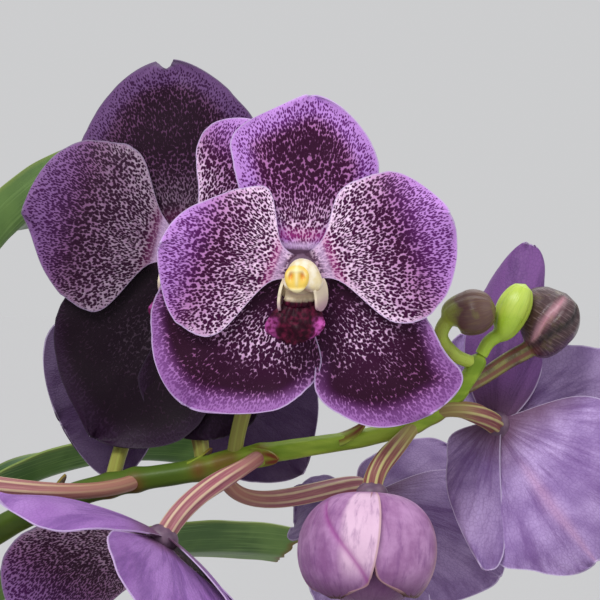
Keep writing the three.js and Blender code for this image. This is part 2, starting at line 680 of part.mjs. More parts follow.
function addBloom(bloom, clear) {
  const holder = new THREE.Group();
  holder.applyMatrix4(bloomFrame(bloom));
  group.add(holder);
  add(bloom.name + "_tepals", tepalsSolid(bloom), TEPAL_PURPLE, holder);
  add(bloom.name + "_column", columnSolid().subtract(hubSolid(GAP)), COLUMN_CREAM, holder);
  add(bloom.name + "_lip", lipSolid(), LIP_MAGENTA, holder);
  add(bloom.name + "_pedicel", pedicelSolid(bloom, clear), PEDICEL_ROSE);
}

// Half-open bloom: cupped tepals that still close to a globe; bearing 90 is the side that faces the front
const GLOBE = { radius: 20, length: 17, shoulder: 0.68, heart: 0.9 };
const WRAPS = [
  { bearing: 120, spread: 56 },
  { bearing: 12, spread: 64 },
  { bearing: 246, spread: 66 },
];
const HALF_OPEN = {
  name: "half_open_bloom",
  centre: [157, -78, 250.5],
  face: [-18, -80],
  roll: 0,
  root: 170.5,
  leave: [-0.5, -0.6, -0.7],
};

// A point of the wrap that lies number deep, in the bloom's frame
function wrapPoint(wrap, number, u, v) {
  const bearing = rad(wrap.bearing + v * wrap.spread * (1 - 0.25 * u ** 3));
  const polar = Math.PI * mix(0.04, 0.84 - 0.05 * number, u);
  const radius = GLOBE.radius * (1 - 0.045 * number) * Math.sin(polar) ** GLOBE.shoulder + 0.75;
  return vec(radius * Math.cos(bearing), radius * Math.sin(bearing), GLOBE.length * (1 - Math.cos(polar)));
}

function halfOpenSolid() {
  const outline = Array.from({ length: 8 }, (_, i) => {
    const polar = (Math.PI * i) / 7;
    const radius = i % 7 ? GLOBE.heart * GLOBE.radius * Math.sin(polar) ** GLOBE.shoulder : 0;
    return [radius, GLOBE.length * (1 - 0.94 * Math.cos(polar))];
  });
  const wraps = WRAPS.map((wrap, number) => blade((u, v) => wrapPoint(wrap, number, u, v), () => 1.6, 4, 4));
  return union([hubSolid(), turnedSolid(outline, 10), ...wraps]);
}

// Buds: each is a rounded body on its own short pedicel; points run from the spike to the bud
const BUDS = [
  {
    name: "bud_1",
    path: [[190, -68, 290], [183, -70, 293], [178.5, -71, 299], [181.5, -72, 304.5]],
    centre: [187.5, -73, 306],
    size: [7.2, 7, 8],
    lean: -24,
    furrow: 0,
    material: BUD_BROWN,
  },
  {
    name: "bud_2",
    path: [[191.2, -68, 293], [193.6, -68, 297], [197.4, -68, 302]],
    centre: [200.8, -68, 306.5],
    size: [5.2, 5.4, 9.4],
    lean: 26,
    furrow: 0,
    material: BUD_GREEN,
  },
  {
    name: "bud_3",
    path: [[186, -68, 283], [192, -64, 286], [200, -62, 291], [208, -62, 298]],
    centre: [214, -62, 303],
    size: [9.2, 9, 10.6],
    lean: 32,
    furrow: 0.12,
    material: BUD_BROWN,
  },
];

function budSolid(bud, clear) {
  const body = new THREE.SphereGeometry(1, 9, 6);
  const corner = body.getAttribute("position");
  for (let k = 0; k < corner.count; k++) {
    const turn = Math.atan2(corner.getZ(k), corner.getX(k));
    const size = 1 + bud.furrow * Math.cos(3 * turn);
    corner.setXYZ(k, corner.getX(k) * size, corner.getY(k), corner.getZ(k) * size);
  }
  const [rx, ry, rz] = bud.size;
  body.scale(rx, rz, ry).rotateX(rad(90)).rotateY(rad(bud.lean)).translate(...bud.centre);
  const curve = new THREE.CatmullRomCurve3(bud.path.map((p) => vec(...p)));
  const stalk = tube(curve, (u) => mix(1.9, 2.5, u), 5, 5);
  return stalk.add(solidOf(body)).subtract(clear);
}

// Assembly
const BRACTS = [
  { x: 24, turn: 20, length: 12 },
  { x: 55, turn: 0, length: 11 },
  { x: 101, turn: 25, length: 8 },
  { x: 121, turn: -110, length: 8 },
  { x: 148, turn: -30, length: 9 },
];
const spike = union([spikeTube(), ...BRACTS.map((bract) => bractSolid(bract))]).subtract(stemSolid(GAP));
const clear = union([spikeTube(GAP), ...BRACTS.map((bract) => bractSolid(bract, GAP))]);

add("pot", potSolid(), CLAY);
add("root_crown", crownSolid(), ROOT_GREY);
add("bark_mix", barkSolid().subtract(crownSolid(GAP)), BARK_BROWN);
add("stem", stemSolid(), STEM_GREEN);
LEAVES.forEach((leaf) => add(leaf.name, leafSolid(leaf), LEAF_GREEN));
add("flower_spike", spike, SPIKE_GREEN);
BLOOMS.forEach((bloom) => addBloom(bloom, clear));
const globe = new THREE.Group();
globe.applyMatrix4(bloomFrame(HALF_OPEN));
group.add(globe);
add("half_open_bloom_tepals", halfOpenSolid(), HALF_OPEN_PINK, globe);
add("half_open_bloom_pedicel", pedicelSolid(HALF_OPEN, clear), PEDICEL_ROSE);
BUDS.forEach((bud) => add(bud.name, budSolid(bud, clear), bud.material));

export default group;
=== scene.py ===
import math

import bpy
import numpy as np
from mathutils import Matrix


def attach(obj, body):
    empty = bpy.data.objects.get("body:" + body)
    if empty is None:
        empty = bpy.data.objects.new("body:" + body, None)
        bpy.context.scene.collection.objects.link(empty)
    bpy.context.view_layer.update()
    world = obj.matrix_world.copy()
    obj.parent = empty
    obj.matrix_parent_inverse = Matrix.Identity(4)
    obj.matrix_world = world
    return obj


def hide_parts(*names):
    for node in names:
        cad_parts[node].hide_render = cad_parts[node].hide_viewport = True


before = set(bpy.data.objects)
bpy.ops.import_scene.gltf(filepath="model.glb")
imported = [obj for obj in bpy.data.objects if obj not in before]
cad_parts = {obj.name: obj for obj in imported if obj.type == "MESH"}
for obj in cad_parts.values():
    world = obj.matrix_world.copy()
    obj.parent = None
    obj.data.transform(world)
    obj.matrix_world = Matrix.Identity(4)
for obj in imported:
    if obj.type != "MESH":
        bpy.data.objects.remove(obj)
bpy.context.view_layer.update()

# Lengths are in millimetres up to the point where a mesh is made, and angles in degrees unless said otherwise
MM = 0.001
TURN = 2 * math.pi

POT = {"foot": 51, "shoulder": 74, "rim": 81, "height": 132, "collar": 28, "floor": 8}
DRAIN = {"radius": 5, "reach": 27, "bearings": (30, 150, 270)}
BARK = {"top": 114, "crown": 5, "radius": 71, "chips": 250}
ROOT_RADIUS = 2.9
STEM = {"radius": 7.5, "tip": 4.5, "joint_z": 140, "top_z": 338}
SHEATH = {"reach": 17, "top_reach": 9, "drop": 15, "rise": 12}
CROWN = {"radius": 8.5, "bottom_z": 104}
HUB = {"radius": 5, "depth": 4.2}
FIRST_FORK = 7.0


# Numbers and directions
def smooth(x, low, high):
    share = np.clip((x - low) / (high - low), 0, 1)
    return share * share * (3 - 2 * share)


def mix(a, b, share):
    return a + (b - a) * share


def unit(v):
    return v / np.maximum(np.linalg.norm(v, axis=-1, keepdims=True), 1e-9)


def row(*numbers):
    return np.array(numbers, float)


def bell(x, centre, width):
    return np.exp(-((x - centre) / width) ** 2)


def bearings(sides):
    """Angles in radians at even steps round a ring, as one row"""
    return np.linspace(0, TURN, sides, endpoint=False)[None, :]


def wander(x, seed):
    """Smooth values of about -1 to 1 that wander along x, the same for the same seed"""
    draw = np.random.default_rng(seed)
    total = 0
    for k in range(4):
        pace = 1 + 0.9 * k + 0.4 * draw.random()
        total = total + np.sin(x * pace + draw.uniform(0, TURN)) / (1 + 0.6 * k)
    return total / 2.2


def soft_abs(v, bend=0.15):
    """The size of v, rounded off near 0, still 1 at -1 and 1"""
    return (np.sqrt(v * v + bend * bend) - bend) / (math.sqrt(1 + bend * bend) - bend)


def turned(v, axis, angle):
    """v turned about a unit axis by an angle in radians"""
    cos, sin = np.cos(angle)[..., None], np.sin(angle)[..., None]
    along = np.sum(v * axis, -1, keepdims=True)
    return v * cos + np.cross(axis, v) * sin + axis * along * (1 - cos)


# Curves
def resample(points, shares):
    """Points at the given shares of the length of a fine line of points"""
    steps = np.concatenate([[0], np.cumsum(np.linalg.norm(np.diff(points, axis=0), axis=1))])
    return np.stack([np.interp(np.asarray(shares) * steps[-1], steps, points[:, k]) for k in range(3)], 1)


def spline(points, shares):
    """A smooth curve through the points: a centripetal Catmull-Rom spline"""
    p = np.array(points, float)
    p = np.vstack([2 * p[0] - p[1], p, 2 * p[-1] - p[-2]])
    fine = []
    for a, b, c, d in zip(p, p[1:], p[2:], p[3:]):
        k = np.cumsum([0] + [math.sqrt(np.linalg.norm(y - x)) for x, y in ((a, b), (b, c), (c, d))])
        t = np.linspace(k[1], k[2], 30)[:, None]
        ab = (a * (k[1] - t) + b * (t - k[0])) / (k[1] - k[0])
        bc = (b * (k[2] - t) + c * (t - k[1])) / (k[2] - k[1])
        cd = (c * (k[3] - t) + d * (t - k[2])) / (k[3] - k[2])
        abc = (ab * (k[2] - t) + bc * (t - k[0])) / (k[2] - k[0])
        bcd = (bc * (k[3] - t) + cd * (t - k[1])) / (k[3] - k[1])
        fine.append((abc * (k[2] - t) + bcd * (t - k[1])) / (k[2] - k[1]))
    return resample(np.concatenate(fine), shares)


def bezier(a, b, c, d, shares):
    t = np.linspace(0, 1, 120)[:, None]
    fine = a * (1 - t) ** 3 + 3 * b * t * (1 - t) ** 2 + 3 * c * t * t * (1 - t) + d * t ** 3
    return resample(fine, shares)


def rounded(outline, reach):
    """An outline of (radius, height) points with each corner between two others rounded off"""
    p = [row(*q) for q in outline]
    out = [p[0]]
    for before, corner, after in zip(p, p[1:], p[2:]):
        cut = min(reach, np.linalg.norm(corner - before) * 0.45, np.linalg.norm(after - corner) * 0.45)
        start, end = corner + unit(before - corner) * cut, corner + unit(after - corner) * cut
        for t in np.linspace(0, 1, 5):
            out.append(start * (1 - t) ** 2 + 2 * corner * t * (1 - t) + end * t * t)
    return np.array(out + [p[-1]])


# Meshes
class Shape:
    """Points, faces with a material number, and named values at the points"""

    def __init__(self):
        self.points, self.faces, self.paints, self.values, self.count = [], [], [], [], 0

    def add(self, points, faces, paint=0, **values):
        points = points.reshape(-1, 3)
        for group in faces:
            self.faces.append(group + self.count)
            self.paints.append(np.full(len(group), paint))
        self.points.append(points)
        self.values.append({k: v.ravel() for k, v in values.items()})
        self.count += len(points)

    def add_sheet(self, middle, thickness, paints=(0, 1, 1), **values):
        """A thin closed sheet about a grid of points; paints are those of its front, back and edge"""
        normal = unit(np.cross(np.gradient(middle, axis=0), np.gradient(middle, axis=1)))
        half = np.broadcast_to(thickness, middle.shape[:2])[..., None] / 2
        self.add_faces(middle + normal * half, middle - normal * half, paints, **values)

    def add_faces(self, front, back, paints=(0, 1, 1), **values):
        """A closed solid between two grids of points"""
        rows, columns = front.shape[0] - 1, front.shape[1] - 1
        size = (rows + 1) * (columns + 1)
        index = np.arange(size).reshape(rows + 1, columns + 1)
        loop = np.concatenate([index[0, :-1], index[:-1, -1], index[-1, :0:-1], index[:0:-1, 0]])
        after = np.roll(loop, -1)
        start = self.count
        self.add(np.stack([front, back]), [], **{k: np.stack([v, v]) for k, v in values.items()})
        face = lattice(rows, columns)
        rim = np.stack([loop, after, after + size, loop + size], 1)
        for paint, group in zip(paints, (face, face[:, ::-1] + size, rim)):
            self.faces.append(group + start)
            self.paints.append(np.full(len(group), paint))

    def add_rings(self, rings, paint=0, inside_out=False, **values):
        """A closed solid through rings of points, with a fan over each end"""
        rows, sides = rings.shape[0] - 1, rings.shape[1]
        last = rows * sides
        ends = np.stack([rings[0].mean(0), rings[-1].mean(0)])
        points = np.concatenate([rings.reshape(-1, 3), ends])
        j = np.arange(sides)
        after = (j + 1) % sides
        first = np.full(sides, rings.shape[0] * sides)
        fans = [np.stack([first, after, j], 1), np.stack([first + 1, last + j, last + after], 1)]
        faces = [lattice(rows, sides, wrap=True)[:, ::-1], *fans]
        if inside_out:
            faces = [f[:, ::-1] for f in faces]
        for key, value in values.items():
            values[key] = np.concatenate([value.ravel(), [value[0].mean(), value[-1].mean()]])
        self.add(points, faces, paint, **values)

    def build(self, node, paints, sharp=50):
        """The object: it rides on the plant, stands in for its CAD node, which it hides, and takes the given
        paints
        """
        name = "fine_" + node
        mesh = bpy.data.meshes.new(name)
        points = np.concatenate(self.points) * MM
        sizes = np.concatenate([np.full(len(f), f.shape[1]) for f in self.faces])
        corners = np.concatenate([f.ravel() for f in self.faces])
        mesh.vertices.add(len(points))
        mesh.vertices.foreach_set("co", points.astype(np.float32).ravel())
        mesh.loops.add(len(corners))
        mesh.loops.foreach_set("vertex_index", corners.astype(np.int32))
        mesh.polygons.add(len(sizes))
        mesh.polygons.foreach_set("loop_start", np.concatenate([[0], np.cumsum(sizes)[:-1]]).astype(np.int32))
        mesh.polygons.foreach_set("material_index", np.concatenate(self.paints).astype(np.int32))
        mesh.update(calc_edges=True)
        mesh.polygons.foreach_set("use_smooth", np.ones(len(sizes), bool))
        for key in sorted({k for v in self.values for k in v}):
            parts = [v.get(key, np.zeros(len(p))) for v, p in zip(self.values, self.points)]
            layer = mesh.attributes.new(key, "FLOAT", "POINT")
            layer.data.foreach_set("value", np.concatenate(parts).astype(np.float32))
        mesh.set_sharp_from_angle(angle=math.radians(sharp))
        piece = bpy.data.objects.new(name, mesh)
        bpy.context.scene.collection.objects.link(piece)
        for paint in paints:
            mesh.materials.append(paint)
        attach(piece, "root")
        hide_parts(node)
        return piece


def lattice(rows, columns, wrap=False):
    """The quads of a grid of points, one row after another; wrap joins the last column to the first"""
    width = columns if wrap else columns + 1
    i, j = np.arange(rows)[:, None] * width, np.arange(columns)[None, :]
    a, b = i + j, i + (j + 1) % width
    return np.stack([a, a + width, b + width, b], -1).reshape(-1, 4)


def grid(rows, columns):
    """u from 0 to 1 along the rows of a grid and v from -1 to 1 along its columns"""
    return np.meshgrid(np.linspace(0, 1, rows + 1), np.linspace(-1, 1, columns + 1), indexing="ij")


def rings_along(path, radius, sides):
    """Rings of points about a path; radius may change along it and round it"""
    tangent = unit(np.gradient(path, axis=0))
    side = np.zeros_like(path)
    side[0] = unit(np.cross(tangent[0], row(0.31, 0.9, 0.22)))
    for i in range(1, len(path)):
        side[i] = unit(side[i - 1] - tangent[i] * np.dot(side[i - 1], tangent[i]))
    other = np.cross(tangent, side)
    angle = bearings(sides)[..., None]
    reach = radius if np.ndim(radius) == 2 else np.reshape(radius, (-1, 1))
    reach = np.broadcast_to(reach, (len(path), sides))
    return path[:, None] + reach[..., None] * (np.cos(angle) * side[:, None] + np.sin(angle) * other[:, None])


def rings_at(radius, angle, height):
    """Rings of points about the Z axis"""
    x, y = radius * np.cos(angle), radius * np.sin(angle)
    return np.stack([x, y, height + 0 * x], -1)


def dome(rows, sides, size, centre=(0, 0, 0)):
    """Rings of points of an ellipsoid, from its lowest to its highest"""
    polar = np.linspace(math.pi * 0.995, math.pi * 0.005, rows)[:, None]
    angle = bearings(sides)
    flat = np.sin(polar)
    points = np.stack([flat * np.cos(angle), flat * np.sin(angle), np.cos(polar) + 0 * angle], -1)
    return points * row(*size) + row(*centre)


# Materials
def tone(rgb):
    """A colour given as it looks on a screen, red, green and blue from 0 to 255"""
    shares = [x / 255 for x in rgb]
    return (*[c / 12.92 if c <= 0.04045 else ((c + 0.055) / 1.055) ** 2.4 for c in shares], 1)


class Paint:
    """A material made of nodes, with a short call for each kind of node"""

    def __init__(self, name, specular):
        self.material = bpy.data.materials.new(name)
        self.material.use_nodes = True
        self.tree = self.material.node_tree
        self.shader = self.tree.nodes["Principled BSDF"]
        self.shader.inputs["Specular IOR Level"].default_value = specular

    def node(self, kind, inputs, out=0, **settings):
        made = self.tree.nodes.new("ShaderNode" + kind)
        for key, value in settings.items():
            setattr(made, key, value)
        for key, value in inputs.items():
            self.put(value, made.inputs[key])
        return made.outputs[out]

    def put(self, value, socket):
        """Links or sets a socket"""
        if isinstance(value, bpy.types.NodeSocket):
            self.tree.links.new(value, socket)
        else:
            socket.default_value = value

    def value(self, name):
        return self.node("Attribute", {}, "Fac", attribute_name=name)

    def place(self):
        return self.node("TexCoord", {}, "Object")

    def math(self, operation, a, b=0.0, clamp=False):
        return self.node("Math", {0: a, 1: b}, operation=operation, use_clamp=clamp)

    def times(self, a, b):
        return self.math("MULTIPLY", a, b)

    def plus(self, a, b, clamp=False):
        return self.math("ADD", a, b, clamp)

    def minus(self, a, b):
        return self.math("SUBTRACT", a, b)

    def spread(self, value, low, high, to_low=0.0, to_high=1.0):
        inputs = {"Value": value, "From Min": low, "From Max": high, "To Min": to_low, "To Max": to_high}
        return self.node("MapRange", inputs, interpolation_type="SMOOTHSTEP")

    def span(self, noise, low=0.0, high=1.0):
        """A noise spread so that it fills the range from low to high"""
        return self.spread(noise, 0.3, 0.7, low, high)

    def blend(self, a, b, share):
        return self.node("Mix", {0: share, 6: a, 7: b}, 2, data_type="RGBA")

    def layers(self, base, share, *layers):
        """Tones laid over a base of two tones; a share is an output, or the name of a value at the points"""
        colour = self.blend(tone(base[0]), tone(base[1]), share)
        for rgb, share in layers:
            colour = self.blend(colour, tone(rgb), self.value(share) if isinstance(share, str) else share)
        return colour

    def vector(self, x, y, z=0.0):
        return self.node("CombineXYZ", {0: x, 1: y, 2: z})

    def vector_math(self, operation, a, b):
        return self.node("VectorMath", {0: a, 1: b}, operation=operation)

    def stretched(self, x, y, z):
        return self.vector_math("MULTIPLY", self.place(), (x, y, z))

    def noise(self, scale, detail=2.0, roughness=0.5, at=None):
        inputs = {"Vector": at or self.place(), "Scale": scale, "Detail": detail, "Roughness": roughness}
        return self.node("TexNoise", inputs)

    def finish(self, colour, rough, by=None, height=None, depth=0.1, strength=0.5):
        """rough is the roughness where by is low and high; depth is that of the relief in millimetres"""
        self.put(colour, self.shader.inputs["Base Color"])
        self.put(self.span(by, *rough) if by else rough, self.shader.inputs["Roughness"])
        if height is not None:
            relief = self.node("Bump", {"Strength": strength, "Distance": depth * MM, "Height": height})
            self.put(relief, self.shader.inputs["Normal"])
        return self.material


def fan_cells(p, radius, bearing, seed, length, width, feature="F1"):
    """Distances in a field of cells along veins that fan out and fork each time their radius doubles"""
    octave = p.math("LOGARITHM", p.math("DIVIDE", radius, FIRST_FORK), 2.0)
    fork = p.math("FLOOR", octave)
    fields = []
    for more in (0.0, 1.0):
        count = p.times(p.math("POWER", 2.0, p.plus(fork, more)), FIRST_FORK / width)
        x = p.plus(p.math("DIVIDE", radius, length), p.times(seed, 37.0))
        y = p.plus(p.times(bearing, count), p.times(seed, 19.0))
        flat = p.vector(x, y)
        drift = p.node("TexNoise", {"Vector": flat, "Scale": 0.8, "Detail": 1.0}, "Color")
        push = p.vector_math("MULTIPLY", p.vector_math("SUBTRACT", drift, (0.5, 0.5, 0.5)), (0.9, 0.9, 0))
        inputs = {"Vector": p.vector_math("ADD", flat, push), "Scale": 1.0, "Randomness": 1.0}
        fields.append(p.node("TexVoronoi", inputs, "Distance", feature=feature, voronoi_dimensions="2D"))
    return p.node("Mix", {0: p.span(p.minus(octave, fork)), 2: fields[0], 3: fields[1]}, 0)


def petal_face():
    """A tepal's inner face: dark spots along the veins, that flow together in its middle, on a pale net"""
    p = Paint("petal_face", 0.14)
    radius, bearing, seed, margin = map(p.value, ("fan_radius", "fan_bearing", "seed", "margin"))
    dark, pale, outer, soft = map(p.value, ("dark", "pale", "outer", "soft"))
    patchy, fine, grain = p.noise(200.0, 3.0), p.noise(700.0), p.noise(2600.0)
    level = p.plus(p.times(dark, 0.3), p.span(patchy, 0.4, 0.55))
    level = p.plus(level, p.span(fine, -0.06, 0.06))
    level = p.minus(level, p.spread(margin, 2.4, 0.4, 0.0, 0.24))
    level = p.minus(level, p.times(outer, 0.09))
    spots = p.spread(p.minus(level, fan_cells(p, radius, bearing, seed, 1.1, 0.66)), -0.16, 0.13)
    ground = p.layers(
        ((184, 118, 180), (255, 222, 252)), p.times(pale, p.spread(fine, 0.35, 0.65, 0.45, 1.0)),
        ((200, 144, 226), outer),
        ((126, 66, 114), p.spread(dark, 0.3, 1.0, 0.0, 0.9)),
        ((136, 82, 148), soft),
    )
    spot = p.layers(((66, 8, 58), (42, 8, 32)), dark, ((100, 34, 114), outer))
    colour = p.blend(ground, spot, p.times(spots, p.spread(soft, 0.0, 1.0, 1.0, 0.45)))
    for rgb, share in (
        ((176, 52, 140), p.value("blush")),
        ((206, 182, 224), p.spread(margin, 0.6, 0.2, 0.0, 0.75)),
        ((22, 7, 20), p.value("shade")),
        ((88, 58, 82), p.value("throat")),
        ((208, 176, 220), p.value("brow")),
    ):
        colour = p.blend(colour, tone(rgb), share)
    height = p.plus(p.times(spots, -0.5), p.times(grain, 0.6))
    return p.finish(colour, (0.42, 0.55), grain, height, 0.12, 0.5)


def petal_back():
    """A tepal's outer face: lavender or violet with a fine darker net and creases, mauve towards its base"""
    p = Paint("petal_back", 0.2)
    radius, bearing, seed, margin = map(p.value, ("fan_radius", "fan_bearing", "seed", "margin"))
    line = p.spread(fan_cells(p, radius, bearing, seed, 1.5, 1.0, "DISTANCE_TO_EDGE"), 0.2, 0.03)
    patchy, grain = p.noise(70.0, 4.0), p.noise(2200.0)
    fan = p.vector(p.times(bearing, 7.0), p.times(radius, 0.035), p.times(seed, 3.1))
    # crease dents the relief along the creases and darkens them: the darkening is painted shade in the creases
    crease = p.spread(p.noise(1.0, 5.0, 0.62, fan), 0.44, 0.66)
    base = p.spread(p.plus(p.value("along"), p.times(patchy, 0.16)), 0.42, 0.12)
    colour = p.layers(
        ((148, 118, 176), (200, 172, 226)), p.spread(patchy, 0.32, 0.68),
        ((160, 106, 184), "violet"),
        ((108, 68, 136), p.times(crease, 0.62)),
        ((196, 150, 190), "ridge"),
        ((110, 76, 140), p.times(line, 0.2)),
        ((112, 76, 100), p.times(base, 0.85)),
        ((46, 22, 52), "shade"),
        ((212, 196, 228), p.spread(margin, 0.6, 0.2, 0.0, 0.6)),
    )
    height = p.minus(p.plus(p.times(line, 0.5), p.times(grain, 0.4)), p.times(crease, 1.6))
    return p.finish(colour, (0.45, 0.58), grain, height, 0.18, 0.6)


def hub_paint():
    p = Paint("hub_mauve", 0.4)
    grain = p.noise(2400.0)
    colour = p.layers(((92, 66, 90), (118, 92, 112)), p.spread(p.noise(300.0, 3.0), 0.32, 0.68))
    return p.finish(colour, (0.35, 0.5), grain, grain, 0.08, 0.4)


def column_paint():
    p = Paint("column_cream", 0.4)
    grain = p.noise(2400.0)
    colour = p.layers(
        ((232, 214, 168), (246, 236, 214)), p.spread(p.noise(420.0, 3.0), 0.35, 0.65),
        ((176, 128, 138), "tint"), ((250, 214, 96), "cap"),
        ((226, 142, 40), "pit"), ((252, 242, 190), "glow"),
    )
    return p.finish(colour, (0.32, 0.44), grain, grain, 0.06, 0.4)


def lip_paint():
    p = Paint("lip_velvet", 0.1)
    patchy, grain = p.noise(700.0, 3.0), p.noise(2600.0)
    magenta = p.layers(((112, 22, 78), (204, 92, 182)), p.spread(patchy, 0.36, 0.64))
    colour = p.layers(((44, 10, 26), (96, 22, 52)), p.spread(patchy, 0.4, 0.75))
    # magenta is weaker on one side lobe, so that lobe is darker: painted shade
    colour = p.blend(colour, magenta, p.value("magenta"))
    colour = p.blend(colour, tone((238, 224, 196)), p.value("cream"))
    colour = p.blend(colour, tone((176, 132, 158)), p.value("tint"))
    return p.finish(colour, (0.38, 0.52), grain, grain, 0.1, 0.5)


def pedicel_paint():
    """Narrow pale ribs on rose or maroon; rose says how far the whole stalk has coloured"""
    p = Paint("pedicel", 0.25)
    rib, rose, grain = p.value("rib"), p.value("rose"), p.noise(2400.0)
    lines = p.noise(1.0, 3.0, at=p.vector(p.times(rib, 2.2), p.times(p.value("along"), 0.09)))
    high = p.layers(((172, 176, 84), (214, 184, 160)), rose)
    low = p.layers(((112, 56, 48), (156, 88, 104)), rose)
    low = p.blend(low, p.layers(((140, 112, 60), (178, 118, 126)), rose), p.spread(lines, 0.4, 0.65))
    fresh = p.layers(((142, 160, 56), (170, 104, 104)), rose)
    ribs = p.spread(p.plus(rib, p.times(p.noise(260.0, 3.0), 0.5)), 0.35, 1.2)
    colour = p.blend(p.blend(low, high, ribs), fresh, p.value("fresh"))
    return p.finish(colour, (0.4, 0.52), grain, lines, 0.15, 0.5)


def spike_paint():
    p = Paint("spike_green", 0.25)
    grain = p.noise(2400.0)
    colour = p.layers(
        ((118, 150, 36), (162, 190, 62)), p.span(p.noise(1.0, 3.0, at=p.stretched(60.0, 260.0, 260.0))),
        ((62, 86, 24), "deep"), ((118, 58, 34), "brown"),
    )
    return p.finish(colour, (0.38, 0.5), grain, grain, 0.08, 0.4)


def leaf_paint(name, dark, light):
    """Leathery green with fine veins that run the length of the leaf, and a brown bitten end"""
    p = Paint(name, 0.4)
    flat = p.vector(p.times(p.value("across"), 1.6), p.times(p.value("along"), 0.03), p.value("seed"))
    lines, patchy = p.noise(1.0, 3.0, at=flat), p.noise(38.0, 4.0)
    colour = p.layers(
        (dark, light), p.span(patchy),
        ([c + 22 for c in light], p.spread(lines, 0.5, 0.72, 0.0, 0.5)),
        ((150, 164, 80), "edge"),
        ((120, 84, 42), "bitten"),
    )
    return p.finish(colour, (0.36, 0.48), patchy, lines, 0.25, 0.5)


def stem_paint():
    p = Paint("stem_green", 0.35)
    lines = p.noise(1.0, 3.0, at=p.stretched(700.0, 700.0, 60.0))
    colour = p.layers(
        ((78, 104, 42), (132, 150, 70)), p.span(p.noise(45.0, 4.0)),
        ((150, 136, 92), p.spread(lines, 0.52, 0.75, 0.0, 0.6)),
        ((138, 120, 86), "dry"),
    )
    return p.finish(colour, (0.42, 0.6), lines, lines, 0.2, 0.6)


def root_paint():
    """Silvery velamen over green, with bare green tips"""
    p = Paint("root_silver", 0.2)
    patchy, grain = p.noise(120.0, 5.0, 0.62), p.noise(1100.0, 3.0)
    colour = p.layers(
        ((132, 140, 112), (200, 200, 186)), p.spread(patchy, 0.35, 0.62),
        ((118, 92, 66), p.spread(patchy, 0.62, 0.8, 0.0, 0.7)),
        ((112, 134, 58), "tip"),
    )
    return p.finish(colour, (0.62, 0.85), grain, grain, 0.25, 0.7)


def bark_paint():
    p = Paint("bark_brown", 0.2)
    lines = p.noise(1.0, 5.0, 0.65, p.stretched(260.0, 420.0, 900.0))
    colour = p.layers(
        ((58, 34, 22), (122, 82, 54)), p.spread(lines, 0.32, 0.68),
        ((148, 104, 70), p.times(p.value("seed"), 0.55)),
        # deep darkens the bed under the chips: painted shade in the gaps between them
        ((30, 20, 14), "deep"),
    )
    return p.finish(colour, (0.75, 0.95), lines, lines, 0.6, 0.8)


def clay_paint():
    """Fired clay with fine grit, faint turning marks and a lime bloom low on the wall"""
    p = Paint("fired_clay", 0.15)
    broad, grit = p.noise(22.0, 5.0, 0.6), p.noise(1300.0, 4.0, 0.6)
    marks = p.noise(1.0, 2.0, at=p.stretched(8.0, 8.0, 900.0))
    height = p.node("SeparateXYZ", {0: p.place()}, 2)
    low = p.spread(p.plus(height, p.times(broad, 0.03)), 0.05, 0.012, 0.0, 0.5)
    colour = p.layers(
        ((166, 84, 50), (196, 112, 74)), p.span(broad),
        ((206, 134, 98), p.spread(grit, 0.56, 0.8, 0.0, 0.6)),
        ((128, 60, 38), p.spread(grit, 0.42, 0.24, 0.0, 0.5)),
        ((222, 190, 166), p.times(low, p.spread(broad, 0.42, 0.62))),
    )
    relief = p.plus(p.times(grit, 0.5), p.times(marks, 0.5))
    return p.finish(colour, (0.8, 0.95), grit, relief, 0.25, 0.6)


def bud_paint(name, low, high, stripe, pace=(12.0, 0.5)):
    """A bud, low on its stalk side and high at its end, with stripes; pace is theirs round it and along it"""
    p = Paint(name, 0.5)
    patchy, end = p.noise(190.0, 3.0), p.value("high")
    flat = p.vector(p.times(p.value("around"), pace[0]), p.times(p.value("along"), pace[1]))
    stripes = p.noise(1.0, 3.0, at=flat)
    fine = p.times(p.spread(stripes, 0.46, 0.72, 0.0, 0.5), p.spread(end, 0.0, 1.0, 0.25, 1.0))
    colour = p.layers(
        (low, high), p.plus(p.times(end, 1.2), p.span(patchy, -0.3, 0.2), clamp=True),
        # groove paints near-black shade along a bud's furrow
        (stripe, fine), ((116, 50, 52), "rib"), ((214, 158, 172), "seam"), ((20, 8, 12), "groove"),
    )
    return p.finish(colour, (0.26, 0.38), patchy, stripes, 0.3, 0.6)


def half_open_paint():
    """Tepals that still close on each other: a pale rose band on violet, with a tan edge"""
    p = Paint("half_open_rose", 0.2)
    flat = p.vector(p.times(p.value("around"), 9.0), p.times(p.value("along"), 0.12), p.value("seed"))
    veins, patchy, grain = p.noise(1.0, 5.0, 0.6, flat), p.noise(110.0, 5.0, 0.6), p.noise(2300.0)
    colour = p.layers(
        ((150, 100, 150), (190, 144, 190)), p.span(patchy),
        ((226, 190, 216), p.times(p.value("band"), p.spread(patchy, 0.2, 0.6, 0.8, 1.0))),
        ((122, 72, 130), p.spread(veins, 0.48, 0.7, 0.0, 0.5)),
        ((176, 142, 112), p.times(p.value("tan"), 0.8)),
        ((150, 54, 140), p.times(p.value("fold"), 0.7)),
        # deep is painted shade: dark over the globe's heart and towards the tepals' ends round its mouth
        ((84, 38, 82), "deep"),
        ((178, 140, 130), p.spread(p.value("margin"), 0.9, 0.25, 0.0, 0.6)),
        ((70, 40, 26), "torn"),
    )
    height = p.plus(p.times(veins, 2.0), p.times(patchy, 1.2))
    return p.finish(colour, (0.44, 0.58), grain, height, 0.3, 0.6)


PETAL_FACE, PETAL_BACK, HUB_PAINT = petal_face(), petal_back(), hub_paint()
COLUMN_PAINT, LIP_PAINT = column_paint(), lip_paint()
PEDICEL_PAINT, SPIKE_PAINT = pedicel_paint(), spike_paint()
LEAF_FACE = leaf_paint("leaf_face", (44, 84, 30), (82, 124, 48))
LEAF_BACK = leaf_paint("leaf_back", (66, 100, 44), (108, 142, 70))
STEM_PAINT, ROOT_PAINT, BARK_PAINT, CLAY_PAINT = stem_paint(), root_paint(), bark_paint(), clay_paint()


